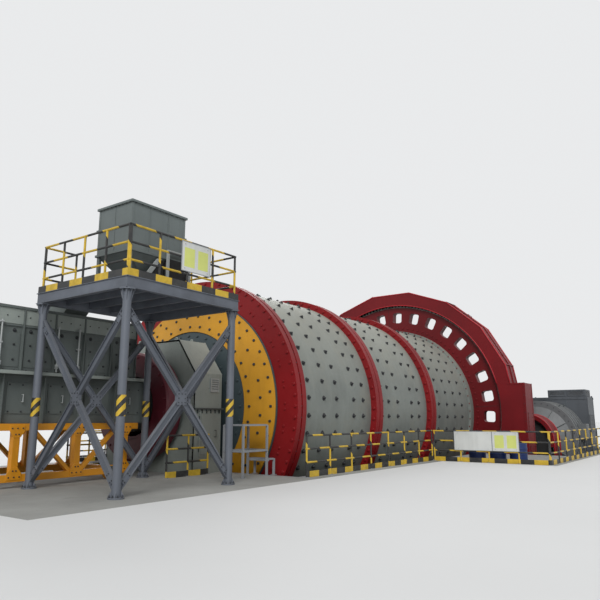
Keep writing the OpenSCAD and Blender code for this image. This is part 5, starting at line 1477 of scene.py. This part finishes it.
def floor_equipment():
    """Rims and bungs of the oil drums, the stand's bar grating and foot plates, and the fences' feet."""
    caps, grating, feet, bolts = Builder(), Builder(), Builder(), Builder()
    for side in SIDES:
        mirror = mirrored(side)
        for x in LUBE_X:
            lid = mirror @ Matrix.Translation(spot(x, LUBE_Y, 0.62))
            caps.ring([(0.268, -0.002), (0.293, -0.002), (0.293, 0.014), (0.268, 0.014)], 40, lid)
            caps.ring([(0.285, -0.55), (0.297, -0.55), (0.297, -0.53), (0.285, -0.53)], 40, lid)
            for dx, r in ((0.17, 0.040), (-0.18, 0.024)):
                bung = lid @ Matrix.Translation((dx, 0.0, -0.002))
                caps.turned([(0.0, 0.0), (r, 0.0), (r, 0.014), (r * 0.6, 0.018), (0.0, 0.018)], 16, bung)
    top = 1.30
    bars = [STAND_X + i * GRATING_PITCH for i in range(17)]
    for x in bars:
        grating.box(spot(x, -1.83, top - 0.001), spot(x + 0.006, -0.87, top + 0.014))
    for i in range(3):
        y = -1.60 + i * 0.25
        grating.box(spot(STAND_X, y, top + 0.008), spot(3.631, y + 0.006, top + 0.016))
    for x in bars:
        grating.box(spot(x, -0.83, 0.419), spot(x + 0.006, -0.57, 0.432))
    for x in (STAND_X, 3.625):
        for y in (-1.825, -0.875, -0.575):
            post_foot(feet, bolts, x, MILL_Y + y, FLOOR_Z)
    for side in SIDES:
        for x, y in fence_posts():
            post_foot(feet, bolts, side * x, MILL_Y + y, FLOOR_Z)
    caps.make("lube_drum_caps", "foundation", "blue", "lube_blue", 0.002)
    grating.make("stand_grating", "foundation", "galvanized", "stand_grey")
    feet.make("post_feet", "foundation", "galvanized", "stand_grey", 0.002)
    bolts.make("post_foot_bolts", "foundation", "bolt", "clutch_dark")


POST_PITCH, POST_INSET = 1.20, 0.025


def posts_along(length):
    bays = max(1, math.ceil(length / POST_PITCH))
    return [min(max(i * length / bays, POST_INSET), length - POST_INSET) for i in range(bays + 1)]


def fence_posts():
    """Places of the aisle side's fence posts, from the mill axis and the feed flange's face."""
    drive_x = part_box("drive_fences")[1][0] - POST_INSET
    cross_y = 7.10
    drum_x = 4.80
    start_y = -0.75
    places = [(drum_x, start_y + p) for p in posts_along(cross_y - start_y)]
    places += [(drum_x + 0.06 + p, cross_y) for p in posts_along(drive_x - drum_x - 0.06)[:-1]]
    end_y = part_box("drive_fences")[1][1] - MILL_Y
    places += [(drive_x, cross_y + p) for p in posts_along(end_y - cross_y)]
    places += [(2.10, -2.98 + p) for p in posts_along(1.50)]
    return places


def pit_edges():
    """Steel angles let into the edges of the pits."""
    edges = Builder()
    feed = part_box("feed_block")[1]
    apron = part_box("drive_aprons")[1]
    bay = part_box("bay_walls")[1]
    wall = 0.50
    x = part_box("pit_walls")[1][0] - wall
    bay_x = bay[0] - wall
    drop, wide, lift = 0.07, 0.07, 0.004
    top = FLOOR_Z + lift
    for side in SIDES:
        mirror = mirrored(side)
        edges.box((x - lift, feed[1], FLOOR_Z - drop), (x + 0.002, apron[1] + lift, top), mirror)
        edges.box((x, feed[1], FLOOR_Z - 0.002), (x + wide, apron[1], top), mirror)
        edges.box((x, apron[1] - 0.002, FLOOR_Z - drop), (bay_x, apron[1] + lift, top), mirror)
        edges.box((x + wide, apron[1] - wide, FLOOR_Z - 0.002), (bay_x, apron[1], top), mirror)
        edges.box((bay_x - lift, apron[1], FLOOR_Z - drop), (bay_x + 0.002, bay[1] - wall, top), mirror)
        edges.box((bay_x, apron[1], FLOOR_Z - 0.002), (bay_x + wide, bay[1] - wall, top), mirror)
    edges.box((-x, feed[1] - 0.002, FLOOR_Z - drop), (x, feed[1] + lift, top))
    edges.box((-x, feed[1] - wide, FLOOR_Z - 0.002), (x, feed[1], top))
    edges.make("pit_edge_angles", "foundation", "galvanized", "stand_grey")


# The sky lights the part, and the backdrop is what the camera and reflections show instead of it
SKY_LIGHT, SKY_STRENGTH = (0.93, 0.96, 1.0, 1.0), 0.50
BACKDROP, BACKDROP_STRENGTH = (0.86, 0.87, 0.88, 1.0), 0.95
# Each sun's name, place, angle and strength
SUNS = (
    ("key", (17.0, -25.0, 21.0), 0.50, 2.10),
    ("back", (-22.0, 20.0, 18.0), 0.60, 0.85),
    ("top", (-3.0, 3.0, 30.0), 0.90, 0.25),
)
FLOOR_REACH = 260.0


def setting():
    """The pale floor with an opening along the foundation, the backdrop's light and the camera."""
    scene = bpy.context.scene
    low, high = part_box("base_slab")
    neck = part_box("feed_block")[1][0]
    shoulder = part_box("drive_aprons")[0][1]
    level = FLOOR_Z - 0.002
    outline = [(-neck, low[1]), (neck, low[1]), (neck, shoulder), (high[0], shoulder), (high[0], high[1]),
               (low[0], high[1]), (low[0], shoulder), (-neck, shoulder)]
    far = FLOOR_REACH
    rim = [(-far, -far), (far, -far), (far, shoulder), (far, shoulder + 0.001), (far, far),
           (-far, far), (-far, shoulder + 0.001), (-far, shoulder)]
    points = [(x, y, level) for x, y in outline + rim]
    count = len(outline)
    faces = [(i, (i + 1) % count, count + (i + 1) % count, count + i) for i in range(count)]
    faces = [tuple(reversed(face)) for face in faces]
    mesh = bpy.data.meshes.new("studio_floor")
    mesh.from_pydata(points, [], faces)
    mesh.validate()
    floor = bpy.data.objects.new("studio_floor", mesh)
    scene.collection.objects.link(floor)
    floor_tree = Tree("studio_floor", STUDIO_FLOOR, 0.70)
    grain = floor_tree.noise(0.25, 4.0)
    floor_tree.color(floor_tree.mix(floor_tree.ramp(grain, 0.3, 0.7), STUDIO_PALE, STUDIO_PALER))
    floor.data.materials.append(floor_tree.material)

    world = bpy.data.worlds.new("studio")
    scene.world = world
    world.use_nodes = True
    nodes, links = world.node_tree.nodes, world.node_tree.links
    nodes.clear()
    out = nodes.new("ShaderNodeOutputWorld")
    light = nodes.new("ShaderNodeBackground")
    light.inputs["Color"].default_value = SKY_LIGHT
    light.inputs["Strength"].default_value = SKY_STRENGTH
    seen = nodes.new("ShaderNodeBackground")
    seen.inputs["Color"].default_value = BACKDROP
    seen.inputs["Strength"].default_value = BACKDROP_STRENGTH
    rays = nodes.new("ShaderNodeLightPath")
    either = nodes.new("ShaderNodeMath")
    either.operation = "MAXIMUM"
    links.new(rays.outputs["Is Camera Ray"], either.inputs[0])
    links.new(rays.outputs["Is Glossy Ray"], either.inputs[1])
    mixer = nodes.new("ShaderNodeMixShader")
    links.new(either.outputs[0], mixer.inputs[0])
    links.new(light.outputs[0], mixer.inputs[1])
    links.new(seen.outputs[0], mixer.inputs[2])
    links.new(mixer.outputs[0], out.inputs["Surface"])

    for name, place, angle, strength in SUNS:
        sun(name, place, angle, strength)

    camera_data = bpy.data.cameras.new("photo_camera")
    camera_data.lens = LENS_MM
    camera_data.sensor_width = 36.0
    camera_data.clip_end = 1000.0
    camera = bpy.data.objects.new("photo_camera", camera_data)
    scene.collection.objects.link(camera)
    look = Vector((-math.sin(CAMERA_YAW) * math.cos(CAMERA_PITCH),
                   math.cos(CAMERA_YAW) * math.cos(CAMERA_PITCH),
                   math.sin(CAMERA_PITCH)))
    camera.location = EYE
    camera.rotation_euler = look.to_track_quat("-Z", "Y").to_euler()
    scene.camera = camera
    scene.view_settings.view_transform = "Standard"


def sun(name, place, angle, strength):
    """A soft sun that shines from a place towards the middle of the part."""
    data = bpy.data.lights.new(name, "SUN")
    data.angle = angle
    data.energy = strength
    light = bpy.data.objects.new(name, data)
    bpy.context.scene.collection.objects.link(light)
    light.location = place
    light.rotation_euler = (-Vector(place)).to_track_quat("-Z", "Y").to_euler()


setting()
finish_nodes()
liner_bolts()
head_bolts()
flange_bolts()
gear_bolts()
guard_details()
guard_box_details()
casing_details()
platform_details()
signs()
hopper_details()
chute_details()
trolley_details()
clutch_guard_details()
pinion_block_details()
motor_details()
cooler_details()
trunnion_details()
floor_equipment()
pit_edges()
